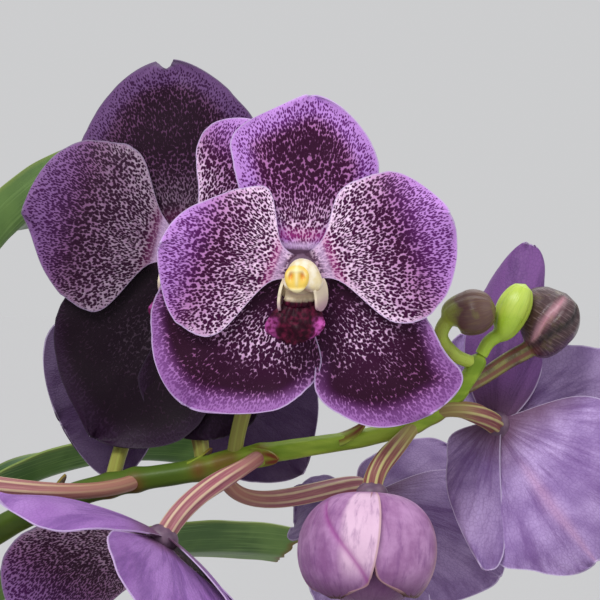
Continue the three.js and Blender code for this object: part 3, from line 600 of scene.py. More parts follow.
# Clay pot
def make_pot():
    foot, shoulder, rim, top = (POT[k] for k in ("foot", "shoulder", "rim", "height"))
    wall_top = top - POT["collar"]
    outline = rounded(
        [
            (0.05, 0), (foot, 0), (foot + 2, 2), (shoulder, wall_top), (rim - 1.5, wall_top + 1),
            (rim - 0.5, wall_top + 3), (rim, top - 4), (rim - 2, top - 0.5), (rim - 5.5, top),
            (rim - 7.5, top - 2), (shoulder - 2.5, wall_top - 4), (foot - 3.5, POT["floor"]),
            (0.05, POT["floor"]),
        ],
        1.6,
    )
    fine = []
    for a, b in zip(outline, outline[1:]):
        fine.append(np.linspace(a, b, max(2, int(np.linalg.norm(b - a) / 4)), endpoint=False))
    outline = np.concatenate([*fine, outline[-1:]])
    radius, height, angle = outline[:, :1], outline[:, 1:], bearings(112)
    turning = 0.12 * np.sin(height * 1.7 + 0.4 * np.sin(angle)) + 0.1 * np.sin(height * 0.61)
    uneven = (turning + 0.25 * np.sin(2 * angle + 1)) * smooth(radius, 20, 50) * smooth(height, 3, 12)
    shape = Shape()
    shape.add_rings(rings_at(radius + uneven, angle, height), inside_out=True)
    pot = shape.build("pot", [CLAY_PAINT], 40)
    cutters = Shape()
    for bearing in DRAIN["bearings"]:
        x, y = (DRAIN["reach"] * f(math.radians(bearing)) for f in (math.cos, math.sin))
        path = np.array([row(x, y, z) for z in (-6, 20)])
        cutters.add_rings(rings_along(path, row(DRAIN["radius"], DRAIN["radius"]), 24))
    cutter = bpy.data.objects.new("drains", bpy.data.meshes.new("drains"))
    points = (np.concatenate(cutters.points) * MM).tolist()
    cutter.data.from_pydata(points, [], [list(map(int, f)) for group in cutters.faces for f in group])
    bpy.context.scene.collection.objects.link(cutter)
    cut = pot.modifiers.new("drains", "BOOLEAN")
    cut.operation, cut.object, cut.solver = "DIFFERENCE", cutter, "EXACT"
    bpy.context.view_layer.update()
    done = bpy.data.meshes.new_from_object(pot.evaluated_get(bpy.context.evaluated_depsgraph_get()))
    pot.modifiers.clear()
    pot.data = done
    bpy.data.objects.remove(cutter)


# Bark mix: a bed that fills the pot, with loose chips that lie on it
def chip_points(draw, length, width, thickness):
    """The grid points of a rough block, six faces of a cube drawn out and worn"""
    steps = np.linspace(-1, 1, 5)
    a, b = (m.ravel() for m in np.meshgrid(steps, steps, indexing="ij"))
    faces, points = [], []
    for axis in range(3):
        for side in (-1, 1):
            block = np.zeros((25, 3))
            block[:, axis], block[:, (axis + 1) % 3], block[:, (axis + 2) % 3] = side, a, b
            quads = lattice(4, 4) + 25 * len(points)
            faces.append(quads if side > 0 else quads[:, ::-1])
            points.append(block)
    p = np.concatenate(points)
    p = p / (np.sum(np.abs(p) ** 5, 1, keepdims=True) ** 0.2)
    skew = draw.uniform(-0.28, 0.28, (2, 2, 2, 3))
    weight = (p + 1) / 2
    for corner in np.ndindex(2, 2, 2):
        share = np.prod([weight[:, k] if corner[k] else 1 - weight[:, k] for k in range(3)], 0)
        p = p + share[:, None] * skew[corner]
    rough = np.stack([np.sin(p @ draw.uniform(-5, 5, 3) + draw.uniform(0, TURN)) for _ in range(3)], 1)
    return (p + 0.07 * rough) * row(length, width, thickness) / 2, faces


def make_bark():
    draw = np.random.default_rng(11)
    floor, top = POT["floor"] + 0.3, BARK["top"] - 1
    wall = [(0.05, floor), (POT["foot"] - 4.1, floor), (70.8, POT["height"] - POT["collar"] - 4), (71.2, top)]
    reaches = (69, 60, 50, 40, 30, 20, 10, 0.05)
    crown = [(r, top + BARK["crown"] * (1 - (r / BARK["radius"]) ** 2)) for r in reaches]
    outline = np.array(wall + crown)
    bed = rings_at(outline[:, :1], bearings(72), outline[:, 1:])
    rough = wander(bed[..., 0] * 0.21 + wander(bed[..., 1] * 0.17, 4), 5)
    bed[..., 2] += (bed[..., 2] > BARK["top"] - 2) * rough * 0.8
    shape = Shape()
    # The bed has deep 0.7 and the chips none: painted shade between the chips
    shape.add_rings(bed, inside_out=True, deep=np.full(bed.shape[:2], 0.7), seed=np.zeros(bed.shape[:2]))
    for i in range(BARK["chips"]):
        bearing, reach = i * 2.39996 + draw.uniform(-0.3, 0.3), 63.5 * math.sqrt((i + 0.5) / BARK["chips"])
        size = draw.uniform(0.7, 1.3)
        p, faces = chip_points(draw, 13 * size, 8.5 * size * draw.uniform(0.7, 1.2), 4.6 * size)
        angles = (draw.uniform(-0.5, 0.5), draw.uniform(-0.45, 0.45), draw.uniform(0, TURN))
        for axis, angle in zip(np.eye(3), angles):
            p = turned(p, axis, np.full(len(p), angle))
        lift = BARK["top"] + BARK["crown"] * (1 - (reach / BARK["radius"]) ** 2) + draw.uniform(-1.2, 2.4)
        p = p + row(reach * math.cos(bearing), reach * math.sin(bearing), lift)
        shape.add(p, faces, seed=np.full(len(p), draw.random()), deep=np.full(len(p), 0.0))
    shape.build("bark_mix", [BARK_PAINT], 38)


# Root crown: six roots dive into the bark, and three hang over the rim
ROOTS = [
    {"turn": 8, "from": 133, "dive": 42},
    {"turn": 62, "from": 126, "dive": 55},
    {"turn": 118, "from": 135, "dive": 38},
    {"turn": 171, "from": 128, "dive": 52},
    {"turn": 226, "from": 134, "dive": 34},
    {"turn": 305, "from": 129, "dive": 50},
    {"turn": 268, "from": 134, "hang": 46},
    {"turn": 342, "from": 135, "hang": 66},
    {"turn": 198, "from": 135, "hang": 78},
]


def root_points(root):
    def at(reach, z, drift=0):
        turn = math.radians(root["turn"] + drift)
        return (reach * math.cos(turn), reach * math.sin(turn), z)

    start = [at(0, root["from"] + 1), at(CROWN["radius"] + 4, root["from"] - 1)]
    if "dive" in root:
        rest, dive = BARK["top"] + BARK["crown"] + 3, root["dive"]
        return start + [at(dive * 0.6, rest + 6, 7), at(dive, rest - 1, -4), at(dive + 5, rest - 20, 3)]
    side, rim, top, hang = POT["rim"] + 5, POT["rim"], POT["height"], root["hang"]
    return start + [
        at(46, top + 9, 9),
        at(rim - 5, top + 7.5, -2),
        at(side + 1, top - 7, -4),
        at(side, top - 32, 3),
        at(side - 3, mix(top - 32, hang, 0.5), -3),
        at(side - 5, hang, 4),
    ]


def make_roots():
    shape = Shape()
    heights = np.linspace(CROWN["bottom_z"], STEM["joint_z"] - 0.3, 24)
    share = np.linspace(0, 1, 24)
    core = np.stack([0.4 * wander(share * 5, 3), 0.4 * wander(share * 4, 8), heights], 1)
    angle = bearings(28)
    knobs = 0.5 * np.sin(3 * angle + 7 * share[:, None]) * np.sin(9 * share[:, None])
    taper = (1 - 0.12 * share[:, None]) * np.sqrt(1 - 0.7 * smooth(share[:, None], 0.94, 1.0))
    shape.add_rings(rings_along(core, CROWN["radius"] * taper + knobs, 28), tip=np.zeros((24, 28)))
    for i, root in enumerate(ROOTS):
        count = 46 if "dive" in root else 96
        share = np.sin(np.linspace(0, math.pi / 2, count))
        path = spline(root_points(root), share)
        length = np.linalg.norm(np.diff(path, axis=0), axis=1).sum()
        left = (1 - share) * length
        radius = ROOT_RADIUS * (1 - 0.3 * smooth(share, 0.86, 1))
        radius = radius + 0.28 * wander(share * length * 0.12, 20 + i)
        tip = np.zeros(count)
        if "hang" in root:
            blunt = np.sqrt(np.clip(1 - (1 - left / 2.4) ** 2, 0.001, 1))
            radius = np.where(left > 2.4, radius, radius * blunt)
            tip = smooth(left, 16, 6)
        shape.add_rings(rings_along(path, radius, 16), tip=np.repeat(tip[:, None], 16, 1))
    shape.build("root_crown", [ROOT_PAINT], 60)


# Leaves. turn is the heading from +X; the midrib is an arc that climbs at angle rise at the joint and at angle
# fall at the tip, and half is the half width.
LEAF_FACTS = ("z", "turn", "rise", "fall", "length", "half", "twist")
LEAVES = [
    {"name": name, **dict(zip(LEAF_FACTS, facts))}
    for name, *facts in (
        ("leaf_right_1", 156, 40, 30, -66, 165, 13, 0),
        ("leaf_right_2", 187, 26, 26, -12, 136, 12.5, -42),
        ("leaf_right_3", 220, 32, 33, -20, 120, 13, -25),
        ("leaf_right_4", 287, 26, 74, -4, 108, 14.5, -82),
        ("leaf_right_5", 315, 38, 84, 66, 120, 12, 0),
        ("leaf_right_6", 337, 24, 86, 76, 84, 10, 0),
        ("leaf_left_1", 172, 196, 32, -62, 178, 13.5, 0),
        ("leaf_left_2", 204, 208, 38, -50, 190, 14, 14),
        ("leaf_left_3", 237, 197, 44, -38, 192, 14, -12),
        ("leaf_left_4", 269, 210, 54, -24, 178, 13, 16),
        ("leaf_left_5", 301, 200, 64, 8, 150, 12, 0),
        ("leaf_left_6", 326, 205, 77, 48, 96, 10, 0),
    )
]
TIP_CUT = (0, 6, 4)


def leaf_frame(leaf, u):
    """A point on the midrib at the share u of its length, with the directions along, above and across it"""
    start, end = math.radians(leaf["rise"]), math.radians(leaf["fall"])
    angle = mix(start, end, u)[..., None]
    bend = leaf["length"] / (end - start)
    reach = mix(SHEATH["reach"], SHEATH["top_reach"], smooth(leaf["z"], 300, 340))
    turn = math.radians(leaf["turn"])
    heading, up = row(math.cos(turn), math.sin(turn), 0), row(0, 0, 1)
    point = heading * (reach + bend * (np.sin(angle) - math.sin(start)))
    point = point + up * (leaf["z"] + SHEATH["rise"] - bend * (np.cos(angle) - math.cos(start)))
    along = heading * np.cos(angle) + up * np.sin(angle)
    twist = math.radians(leaf["twist"]) * smooth(u, 0, 0.8)
    above = turned(up * np.cos(angle) - heading * np.sin(angle), along, twist)
    across = turned(row(-math.sin(turn), math.cos(turn), 0) + 0 * along, along, twist)
    return point, along, above, across


def leaf_half(leaf, u):
    return leaf["half"] * mix(0.62, 1, smooth(u, 0, 0.35)) * (1 - 0.16 * u ** 4)


def leaf_fold(u):
    return np.radians(mix(56, 20, smooth(u, 0, 0.7)))


def make_leaf(leaf, seed):
    u, v = grid(84, 20)
    u = mix(0.3 / leaf["length"], 1, u)
    point, along, above, across = leaf_frame(leaf, u)
    cut = np.where(v < 0, mix(TIP_CUT[1], TIP_CUT[0], -v), mix(TIP_CUT[1], TIP_CUT[2], v))
    teeth = 0.9 * wander(v * 6, seed + 60) + 0.5 * np.sin(v * 17 + seed)
    width = leaf_half(leaf, u) * (1 + 0.012 * wander(u * 9 + np.sign(v), seed))
    lift = soft_abs(v) * width * np.sin(leaf_fold(u)) + 0.35 * wander(u * 14 + v, seed + 5) * v * v
    keel = -0.45 * bell(v, 0, 0.1) * (1 - 0.7 * u)
    middle = point - along * ((cut + teeth) * smooth(u, 0.85, 1))[..., None]
    middle = middle + across * (v * width * np.cos(leaf_fold(u)))[..., None]
    middle = middle + above * (lift + keel)[..., None]
    length = u * leaf["length"]
    torn = leaf["length"] - 2.6 + 1.2 * wander(v * 8, seed)
    shape = Shape()
    shape.add_sheet(
        middle,
        mix(2.0, 0.8, np.abs(v) ** 1.5),
        paints=(0, 1, 1),
        across=v * width,
        along=length,
        edge=smooth(np.abs(v), 0.93, 1.0) * 0.5,
        bitten=smooth(length, torn, leaf["length"] - 0.6) * 0.9,
        seed=np.full(v.shape, float(seed)),
    )
    shape.build(leaf["name"], [LEAF_FACE, LEAF_BACK])


# Stem: a core with one sheath to each leaf, that clasps it below the leaf and ends folded at the leaf's joint
def make_stem():
    shape = Shape()
    height = np.linspace(STEM["joint_z"], STEM["top_z"], 60)
    share = (height - STEM["joint_z"]) / (STEM["top_z"] - STEM["joint_z"])
    radius = mix(STEM["radius"], STEM["tip"], share) * np.sqrt(1 - 0.8 * smooth(share, 0.97, 1))
    path = np.stack([0 * height, 0 * height, height], 1)
    shape.add_rings(rings_along(path, radius, 32), dry=np.repeat(0.4 - 0.4 * share[:, None], 32, 1))
    for leaf in LEAVES:
        u, v = grid(18, 28)
        point, _, above, across = leaf_frame(leaf, np.zeros(u.shape))
        lean = math.radians(leaf["turn"]) + v * math.radians(66)
        core = mix(STEM["radius"], STEM["tip"], smooth(leaf["z"], STEM["joint_z"], STEM["top_z"]))
        width = leaf_half(leaf, 0.0) + 0.4
        fold = float(leaf_fold(0.0))

        def face(side, reach):
            clasp = rings_at(reach, lean, leaf["z"] - SHEATH["drop"])
            section = point + across * (v * width * math.cos(fold))[..., None]
            section = section + above * (soft_abs(v, 0.1) * width * math.sin(fold) + side * 1.7)[..., None]
            lines = 0.12 * np.cos(v * 22) * np.sin(math.pi * u) * -side
            out = rings_at(1, lean, 0) * lines[..., None]
            bulge = across * (np.sin(math.pi * u) * v * 1.5)[..., None]
            return clasp + (section - clasp) * u[..., None] + bulge + out

        dry = smooth(u, 0.9, 1.0) * 0.8 + smooth(u, 0.12, 0.0) * 0.5
        shape.add_faces(face(1, 1.5), face(-1, core + 1.4), paints=(0, 0, 0), dry=dry)
    shape.build("stem", [STEM_PAINT])


# Flower spike and its bracts
SPIKE_POINTS = [
    (2.5, -5, 196), (9, -21, 208), (31, -42, 231), (59.7, -58, 247), (82.1, -64, 253.4), (100.9, -66, 256.6),
    (119.5, -67, 261.3), (138.1, -67, 264.4), (156.7, -67, 267.5), (172.1, -68, 272.3), (183, -68, 279.7),
    (188.4, -68, 287.7), (191.6, -68, 293.5),
]
SPIKE = spline(SPIKE_POINTS, np.linspace(0, 1, 241))
BRACTS = [
    {"x": 24, "turn": 20, "length": 12},
    {"x": 55, "turn": 0, "length": 11},
    {"x": 101, "turn": 25, "length": 8},
    {"x": 121, "turn": -110, "length": 8},
    {"x": 148, "turn": -30, "length": 9},
]


def spike_radius(share):
    return mix(4.4, 2.6, smooth(share, 0.1, 1))


def spike_at(x):
    """The index of the spike's point at which it reaches the given x"""
    return int(np.argmax(SPIKE[:, 0] >= x))


def make_spike(joints):
    shape = Shape()
    share = np.linspace(0, 1, len(SPIKE))
    knots = sum(bell(SPIKE[:, 0], x, 2.6) for x in joints)
    angle = bearings(28)
    radius = spike_radius(share) + 0.55 * np.minimum(knots, 1) + 0.1 * wander(share * 40, 2)
    radius = radius * np.sqrt(np.clip(1 - (smooth(share, 0.985, 1.0)) ** 2, 0.02, 1))
    ridged = radius[:, None] + 0.16 * np.cos(5 * angle + 2.5 * share[:, None])
    brown = np.minimum(knots, 1)[:, None] * (0.35 + 0.35 * np.sin(2 * angle + 9 * share[:, None]))
    deep = 0.9 * smooth(SPIKE[:, :1], 125, 95) + 0 * angle
    shape.add_rings(rings_along(SPIKE, ridged, 28), brown=np.clip(brown, 0, 0.7), deep=deep)
    for bract in BRACTS:
        k = spike_at(bract["x"])
        along = unit(SPIKE[k + 1] - SPIKE[k - 1])
        turn = math.radians(bract["turn"])
        out = row(0, math.sin(turn), math.cos(turn))
        out = unit(out - along * np.dot(out, along))
        across = np.cross(along, out)
        u, v = grid(14, 14)
        lift = spike_radius(share[k]) - 0.6 + 3.4 * u * u - 1.4 * v * v * (1 - u)
        middle = SPIKE[k] + along * (bract["length"] * u - 1)[..., None] + out * lift[..., None]
        middle = middle + across * (v * 3.3 * np.sqrt(np.clip(1 - u ** 1.8, 0.002, 1)))[..., None]
        brown = np.clip(0.45 + 0.6 * smooth(u, 0.3, 1.0) - 0.3 * np.cos(6 * v), 0, 1)
        shape.add_sheet(middle, 0.7, paints=(0, 0, 0), brown=brown)
    shape.build("flower_spike", [SPIKE_PAINT], 60)


# Tepals. sweep bends one to its left, curl rolls its sides, lean and arch tip it forward at its base and over
# its length, layer lifts it, and dusk paints shade over its far half.
def tepal(angle, length, left=(), right=(), sweep=0, base=3.2, **more):
    """left and right are half widths at even steps from the base to the tip, seen with the tip up"""
    sides = {"left": (base, *left), "right": (base, *right)} if left else {}
    return {"angle": angle, "length": length, "sweep": sweep, **sides, **more}


PLAIN = {"shade": 0, "dusk": 0, "violet": 0, "ridge": 0, "notch": 0}
SEPAL = {**PLAIN, "layer": -0.9, "lean": -2, "arch": 3, "curl": 0.22, "wave": 1.2, "waves": 4}
PETAL = {**PLAIN, "layer": 1.3, "lean": 6, "arch": 4, "curl": -0.25, "wave": 1, "waves": 3}
TEPALS = {
    "dorsal": {
        **SEPAL, "phase": 0.4, "notch": 0.4,
        **tepal(87.4, 52.4, (12.7, 19, 22.3, 23.2, 7.8), (13.4, 19.9, 22.1, 18.7, 13.6)),
    },
    "petal_right": {
        **PETAL, "phase": 1.2,
        **tepal(20.7, 47.6, (6.9, 18, 19.4, 17.9, 9.4), (7.1, 23.1, 26.9, 23.7, 18)),
    },
    "petal_left": {
        **PETAL, "phase": 2.6,
        **tepal(160.3, 42.4, (7.1, 24.7, 26.5, 21.6, 10.4), (5.9, 20.5, 19.5, 16.2, 15.1), 7.1),
    },
    "sepal_right": {
        **SEPAL, "phase": 2.2, "layer": -1.4,
        **tepal(-57.6, 57, (15.9, 21.1, 20.2, 18.1, 24), (4.9, 11.6, 20.3, 20.9, 21.5), 10.5),
    },
    "sepal_left": {
        **SEPAL, "phase": 4.1,
        **tepal(-119.4, 52.8, (8.8, 20.3, 22.3, 20.2, 10.9), (22.8, 31.9, 30.8, 24.1, 16), -10),
    },
}
BLOOMS = [
    {
        "name": "front_bloom", "centre": (135.6, -90, 319), "face": (-3, -2), "roll": 0,
        "root": 114, "leave": (0.1, 0.1, 1),
    },
    {
        "name": "upper_left_bloom", "centre": (99, -60.5, 324), "face": (-8, 0), "roll": 2,
        "root": 75.7, "leave": (0, 1, 0.6),
        "change": {
            "dorsal": tepal(
                94, 61.7, (19.4, 28.6, 30.4, 24.7, 18.2), (17.9, 26, 27.3, 21.9, 13.8), notch=3, shade=0.74,
            ),
            "petal_left": tepal(163.3, 52.3, (5.9, 23.2, 23.2, 17.2, 3), (11.3, 27, 29.1, 28, 25), shade=0.6),
            "petal_right": tepal(52.4, 48.2, (3, 7.6, 15.8, 17.7, 14.3), (12.1, 18.3, 21.3, 21, 17.1)),
            "sepal_left": tepal(
                -117.8, 64.6, (14.2, 22.8, 28.2, 28.7, 22.5), (20, 28, 27.6, 20.5, 6), -2, shade=0.95,
            ),
            "sepal_right": tepal(-84, 58, layer=-1.8, shade=0.95),
        },
    },
    {
        "name": "lower_left_bloom", "centre": (94, -95, 239), "face": (-78, -60), "roll": 0,
        "root": 123, "leave": (-0.5, -0.8, -0.35), "rose": 0.9,
        "change": {
            "all": {"lean": 7, "arch": 40, "violet": 0.75},
            "dorsal": {"curl": 0.9, "lean": 0, "arch": 30},
            "petal_left": tepal(
                152, 62, (8, 17, 22, 21, 14), (8, 18, 23, 22, 15), lean=5, arch=95, shade=0.45,
            ),
            "petal_right": tepal(-12, 50, (12, 23, 26, 24, 16), (5, 16, 21, 19, 14), lean=4, arch=44),
            "sepal_right": {"angle": -84},
        },
    },
    {
        "name": "rear_left_bloom", "centre": (97.5, -32, 290), "face": (-176, 4), "roll": 0,
        "root": 104, "leave": (0, 1, 0.2),
        "change": {
            "all": {"shade": 0.84},
            "petal_right": {"length": 38},
            "sepal_right": tepal(-26, 45, (12, 22, 29, 31, 27), (10, 17, 23, 28, 30)),
            "sepal_left": tepal(
                -141.3, 52.9, (13.1, 18.8, 19.8, 16.3, 10.8), (14.7, 22.5, 25.4, 21.6, 11.1), 4,
            ),
        },
    },
    {
        "name": "rear_middle_bloom", "centre": (157, -8, 242), "face": (-170, -40), "roll": 0,
        "root": 110, "leave": (0.1, 0.5, -1), "rose": 0.8,
        "change": {
            "all": {"shade": 0.42},
            "dorsal": {"angle": 92, "lean": 20, "arch": 100},
            "petal_right": tepal(14, 32, (6, 12, 14, 13, 9), (3, 7, 11, 12, 9), lean=8, arch=70),
            "petal_left": tepal(142, 46, (7, 11, 13, 10, 6), (12, 13, 11, 10, 8)),
            "sepal_right": {"angle": -84, "sweep": 0},
            "sepal_left": tepal(-141.8, 52),
        },
    },
    {
        "name": "right_bloom", "centre": (197, -52, 270), "face": (168, -16), "roll": 0,
        "root": 177, "leave": (0.8, -0.6, 0.3), "rose": 0.4,
        "change": {
            "dorsal": tepal(
                98.9, 61, (9.9, 12.2, 11.3, 10.1, 12.7), (11.6, 17.3, 20, 19.5, 16.2),
                curl=1.7, violet=1, shade=0.42,
            ),
            "petal_left": tepal(163, 52, shade=0.3),
            "petal_right": tepal(70, 34, (6, 10, 11, 11, 8), (6, 10, 11, 11, 8)),
            "sepal_left": tepal(
                -135.5, 53.3, (15.1, 23.2, 27.7, 19.8, 14.7), (24.6, 32, 29.9, 21.8, 8.6), 7.2,
                ridge=0.6, dusk=0.25,
            ),
            "sepal_right": tepal(
                -66.7, 42.9, (12, 11.5, 10.8, 7.4, 3), (5.5, 7.8, 9.3, 10.1, 9), -16.5, 2.6,
                curl=0.6, layer=-2.4, shade=0.26,
            ),
        },
    },
    {
        "name": "far_left_bloom", "centre": (-12, -86, 258), "face": (-24, -6), "roll": -3,
        "root": 84, "leave": (-0.8, -1, -0.3), "rose": 0.8,
    },
]


def bloom_frame(bloom):
    """The bloom's right, up and facing directions as the rows of a matrix"""
    azimuth, elevation = (math.radians(a) for a in bloom["face"])
    level = math.cos(elevation)
    facing = row(math.sin(azimuth) * level, -math.cos(azimuth) * level, math.sin(elevation))
    up = unit(row(0, 0, 1) - facing * facing[2])
    up = turned(up, facing, np.array(math.radians(bloom["roll"])))
    return np.stack([np.cross(up, facing), up, facing])


def placed(points, bloom):
    """Points from a bloom's own frame (right, up, out) in the part's frame"""
    return points @ bloom_frame(bloom) + row(*bloom["centre"])


def steps_at(steps, share):
    """A smooth value at a share of the way along evenly spaced values: a Catmull-Rom spline"""
    last = len(steps) - 1
    x = np.clip(share, 0, 1) * last
    i = np.minimum(x.astype(int), last - 1)
    p = np.array([2 * steps[0] - steps[1], *steps, 2 * steps[-1] - steps[-2]])
    a, b, c, d, t = p[i], p[i + 1], p[i + 2], p[i + 3], x - i
    return b + 0.5 * t * (c - a + t * (2 * a - 5 * b + 4 * c - d + t * (3 * (b - c) + d - a)))


def tepal_points(t, u, v, seed):
    """A tepal's middle surface in its bloom's frame, and its points laid out flat"""
    s = np.sin(math.pi / 2 * u)
    around = np.arctan2(v, 2.5 * (s - 0.6))
    edge = np.minimum(1, np.hypot(v, s ** 3))
    side = np.where(v < 0, steps_at(t["right"], s), steps_at(t["left"], s))
    ripple = 0.012 * wander(around * 5, seed) + 0.006 * wander(around * 17, seed + 2)
    width = side * np.sqrt(1 - 0.97 * s ** 8) * (1 + ripple * smooth(s, 0.2, 0.5))
    curl = t["curl"] * (0.15 + 0.85 * s)
    across = width * np.sin(curl * v) / curl + t["sweep"] * s * s
    wave = t["wave"] * s * edge ** 3 * np.sin(t["waves"] * around + t["phase"])
    wave = wave + 0.4 * smooth(edge, 0.72, 1) * s * wander(around * 6, seed + 1)
    flat = np.stack([s * t["length"], v * width + t["sweep"] * s * s], -1)
    bearing = np.arctan2(flat[..., 1], flat[..., 0] + 4)
    relief = 0.1 * np.cos(bearing * 21) * smooth(s, 0.12, 0.35) * (1 - smooth(edge, 0.85, 1))
    relief = relief - 0.3 * bell(v * width, 0, 1.1) * smooth(s, 0.1, 0.3) * (1 - smooth(s, 0.6, 0.95))
    swell = 0.35 * np.sin(flat[..., 0] * 0.21 + seed) * np.sin(flat[..., 1] * 0.19 + 2 * seed) * s
    lift = width * (1 - np.cos(curl * v)) / curl + wave + relief + swell
    angle = np.radians(t["lean"] + t["arch"] * s)
    bend = t["length"] / math.radians(t["arch"])
    drop = t["notch"] * (1 - soft_abs(v, 0.25)) * smooth(s, 0.8, 1) - 0.4 * (1 - v * v) * smooth(s, 0.9, 1)
    lean = math.radians(t["lean"])
    reach = bend * (np.sin(angle) - math.sin(lean)) - drop - lift * np.sin(angle)
    rise = t["layer"] - bend * (np.cos(angle) - math.cos(lean)) + lift * np.cos(angle)
    heading = math.radians(t["angle"])
    x = reach * math.cos(heading) - across * math.sin(heading)
    y = reach * math.sin(heading) + across * math.cos(heading)
    return np.stack([x, y, rise], -1), flat


def margin_of(flat):
    """How far each point of a grid lies from the grid's edge, but for its first row"""
    edge = np.concatenate([flat[1:, 0], flat[-1], flat[1:, -1]])
    points = flat.reshape(-1, 2)
    return np.sqrt(((points[:, None] - edge[None]) ** 2).sum(-1).min(1)).reshape(flat.shape[:2])


def markings(kind, s, v, margin):
    """Where a tepal's spots flow together, where its ground is palest, violet or nearly plain"""
    rim = smooth(margin, 9, 2)
    if kind == "dorsal":
        dark = 0.62 * np.exp(-(v / 0.55) ** 4) * smooth(s, 0.3, 0.6) * (1 - smooth(s, 0.72, 0.94))
        return dark, 0.9 * smooth(s, 0.5, 0.22) + 0.25 * rim, 1.5 * rim, 0 * s
    if kind.startswith("petal"):
        dark = 0.36 * np.exp(-(((s - 0.66) / 0.2) ** 2) - (v / 0.6) ** 2)
        pale = 0.95 * smooth(s, 0.75, 0.35) + 0.35 * rim * smooth(s, 0.85, 0.5)
        return dark, pale, smooth(s, 0.62, 0.9) * 0.9, 0 * s
    fleck = np.exp(-(((s - 0.46) / 0.22) ** 2) - ((v - 0.1) / 0.75) ** 2)
    edge = smooth(margin, mix(6, 12, smooth(s, 0.6, 1)), 0.5) * smooth(s, 0.35, 0.75)
    return (0.95 - 0.62 * fleck) * (1 - 0.9 * edge), fleck, 0.85 * edge, 0.7 * edge


def make_tepals(bloom, first_seed):
    change = bloom.get("change", {})
    shape = Shape()
    for i, (kind, base) in enumerate(TEPALS.items()):
        t = {**base, **change.get("all", {}), **change.get(kind, {})}
        seed = first_seed + 3 * i
        u, v = grid(56, 46)
        points, flat = tepal_points(t, u, v, seed)
        s, margin, plain = np.sin(math.pi / 2 * u), margin_of(flat), np.ones(u.shape)
        dark, pale, outer, soft = markings(kind, s, v, margin)
        middle, width = (0.14, 0.014) if kind == "dorsal" else (0.155, 0.026)
        glows = not kind.startswith("sepal")
        shape.add_sheet(
            placed(points, bloom), mix(0.4, 0.85, smooth(margin, 0, 6)), paints=(0, 1, 0),
            fan_radius=np.hypot(flat[..., 0] + 4, flat[..., 1]),
            fan_bearing=np.arctan2(flat[..., 1], flat[..., 0] + 4),
            margin=margin, along=s, dark=dark, pale=pale, outer=outer, soft=soft,
            blush=0.55 * bell(s, 0.2, 0.035) * glows,
            brow=0.85 * bell(s, middle, width) * glows,
            throat=smooth(s, 0.14, 0.112) if kind == "dorsal" else smooth(s, 0.12, 0.1),
            # dusk adds painted shade over the tepal's far half
            shade=t["shade"] + t["dusk"] * smooth(s, 0.5, 0.95),
            violet=plain * t["violet"],
            ridge=t["ridge"] * bell(v, 0.1, 0.07) * smooth(s, 0.2, 0.4),
            seed=plain * seed * 0.61,
        )
    hub = dome(20, 28, (HUB["radius"], HUB["radius"], HUB["depth"]))
    shape.add_rings(placed(hub, bloom), paint=2, inside_out=True)
    shape.build(bloom["name"] + "_tepals", [PETAL_FACE, PETAL_BACK, HUB_PAINT])


# Column: a short post that widens to a hood, with the yellow anther cap on its front and a hollow under the
# cap. It and the lip sink towards their front.
COLUMN_DROP = 0.24
POST = np.array([  # height out from the hub, and radius
    (2, 3.3), (4, 3.7), (6, 4.4), (8.5, 5.4), (10.2, 5.6), (11.4, 5.1), (12.1, 4.0), (12.4, 2.4), (12.5, 0.2)
])


def sunk(x, y, z, bloom):
    """Grids of places right, up and out from a bloom's hub, sunk towards the front, as points of the part"""
    return placed(np.stack([x, y - COLUMN_DROP * z, z + 0 * x], -1), bloom)


def make_column(bloom):
    shape = Shape()
    steps = np.concatenate([[0], np.cumsum(np.hypot(*np.diff(POST, axis=0).T))])
    at = np.linspace(0, steps[-1], 46)
    height, radius = (np.interp(at, steps, POST[:, k])[:, None] for k in (0, 1))
    angle = bearings(48)
    sin = np.sin(angle)
    flare = 1 + 0.3 * smooth(-sin, -0.4, 0.7) * smooth(height, 5, 9)
    x, y = radius * np.cos(angle) * flare, radius * sin * 0.98 + 0.4
    x = x * mix(0.82, 1.0, smooth(x, -2, 2)) + 0.3
    hollow = np.exp(-(x / 2.9) ** 2 - ((y + 4.6) / 1.9) ** 2) * smooth(height, 6, 10)
    y = y + 1.4 * hollow
    tint = np.clip(0.75 * hollow + 0.3 * smooth(y, -2, -5), 0, 0.75)
    shape.add_rings(sunk(x, y, height - 3.0 * hollow, bloom), inside_out=True, tint=tint)
    # The cap, from its rim to its middle
    rho = np.sin(np.linspace(0.02, math.pi / 2, 34))[::-1, None]
    x = 3.6 * rho * np.cos(angle) * (1 + 0.1 * sin)
    y = rho * sin * np.where(sin > 0, 3.9, 4.1)
    pit = np.exp(-((np.abs(x) - 1.75) / 0.7) ** 2 - ((y - 1.2) / 1.4) ** 2)
    ridge = bell(x, 0, 0.5) * smooth(y, -3.2, 0.0)
    lower = smooth(y, -2.0, -3.1)
    brow = bell(rho, 0.72, 0.16) * smooth(y, 0.2, 1.6)
    z = 12.2 + 1.9 * np.sqrt(np.clip(1 - rho ** 2.6, 0, 1)) - 1.2 * pit + 0.35 * ridge
    z = z + 0.5 * lower * rho + 0.3 * brow
    shape.add_rings(
        sunk(x - 0.9, y + 0.7, z, bloom), inside_out=True, cap=np.ones(x.shape), pit=np.clip(pit, 0, 1),
        glow=np.clip(0.7 * ridge + 0.85 * lower + 0.6 * brow, 0, 0.85),
    )
    shape.build(bloom["name"] + "_column", [COLUMN_PAINT], 70)


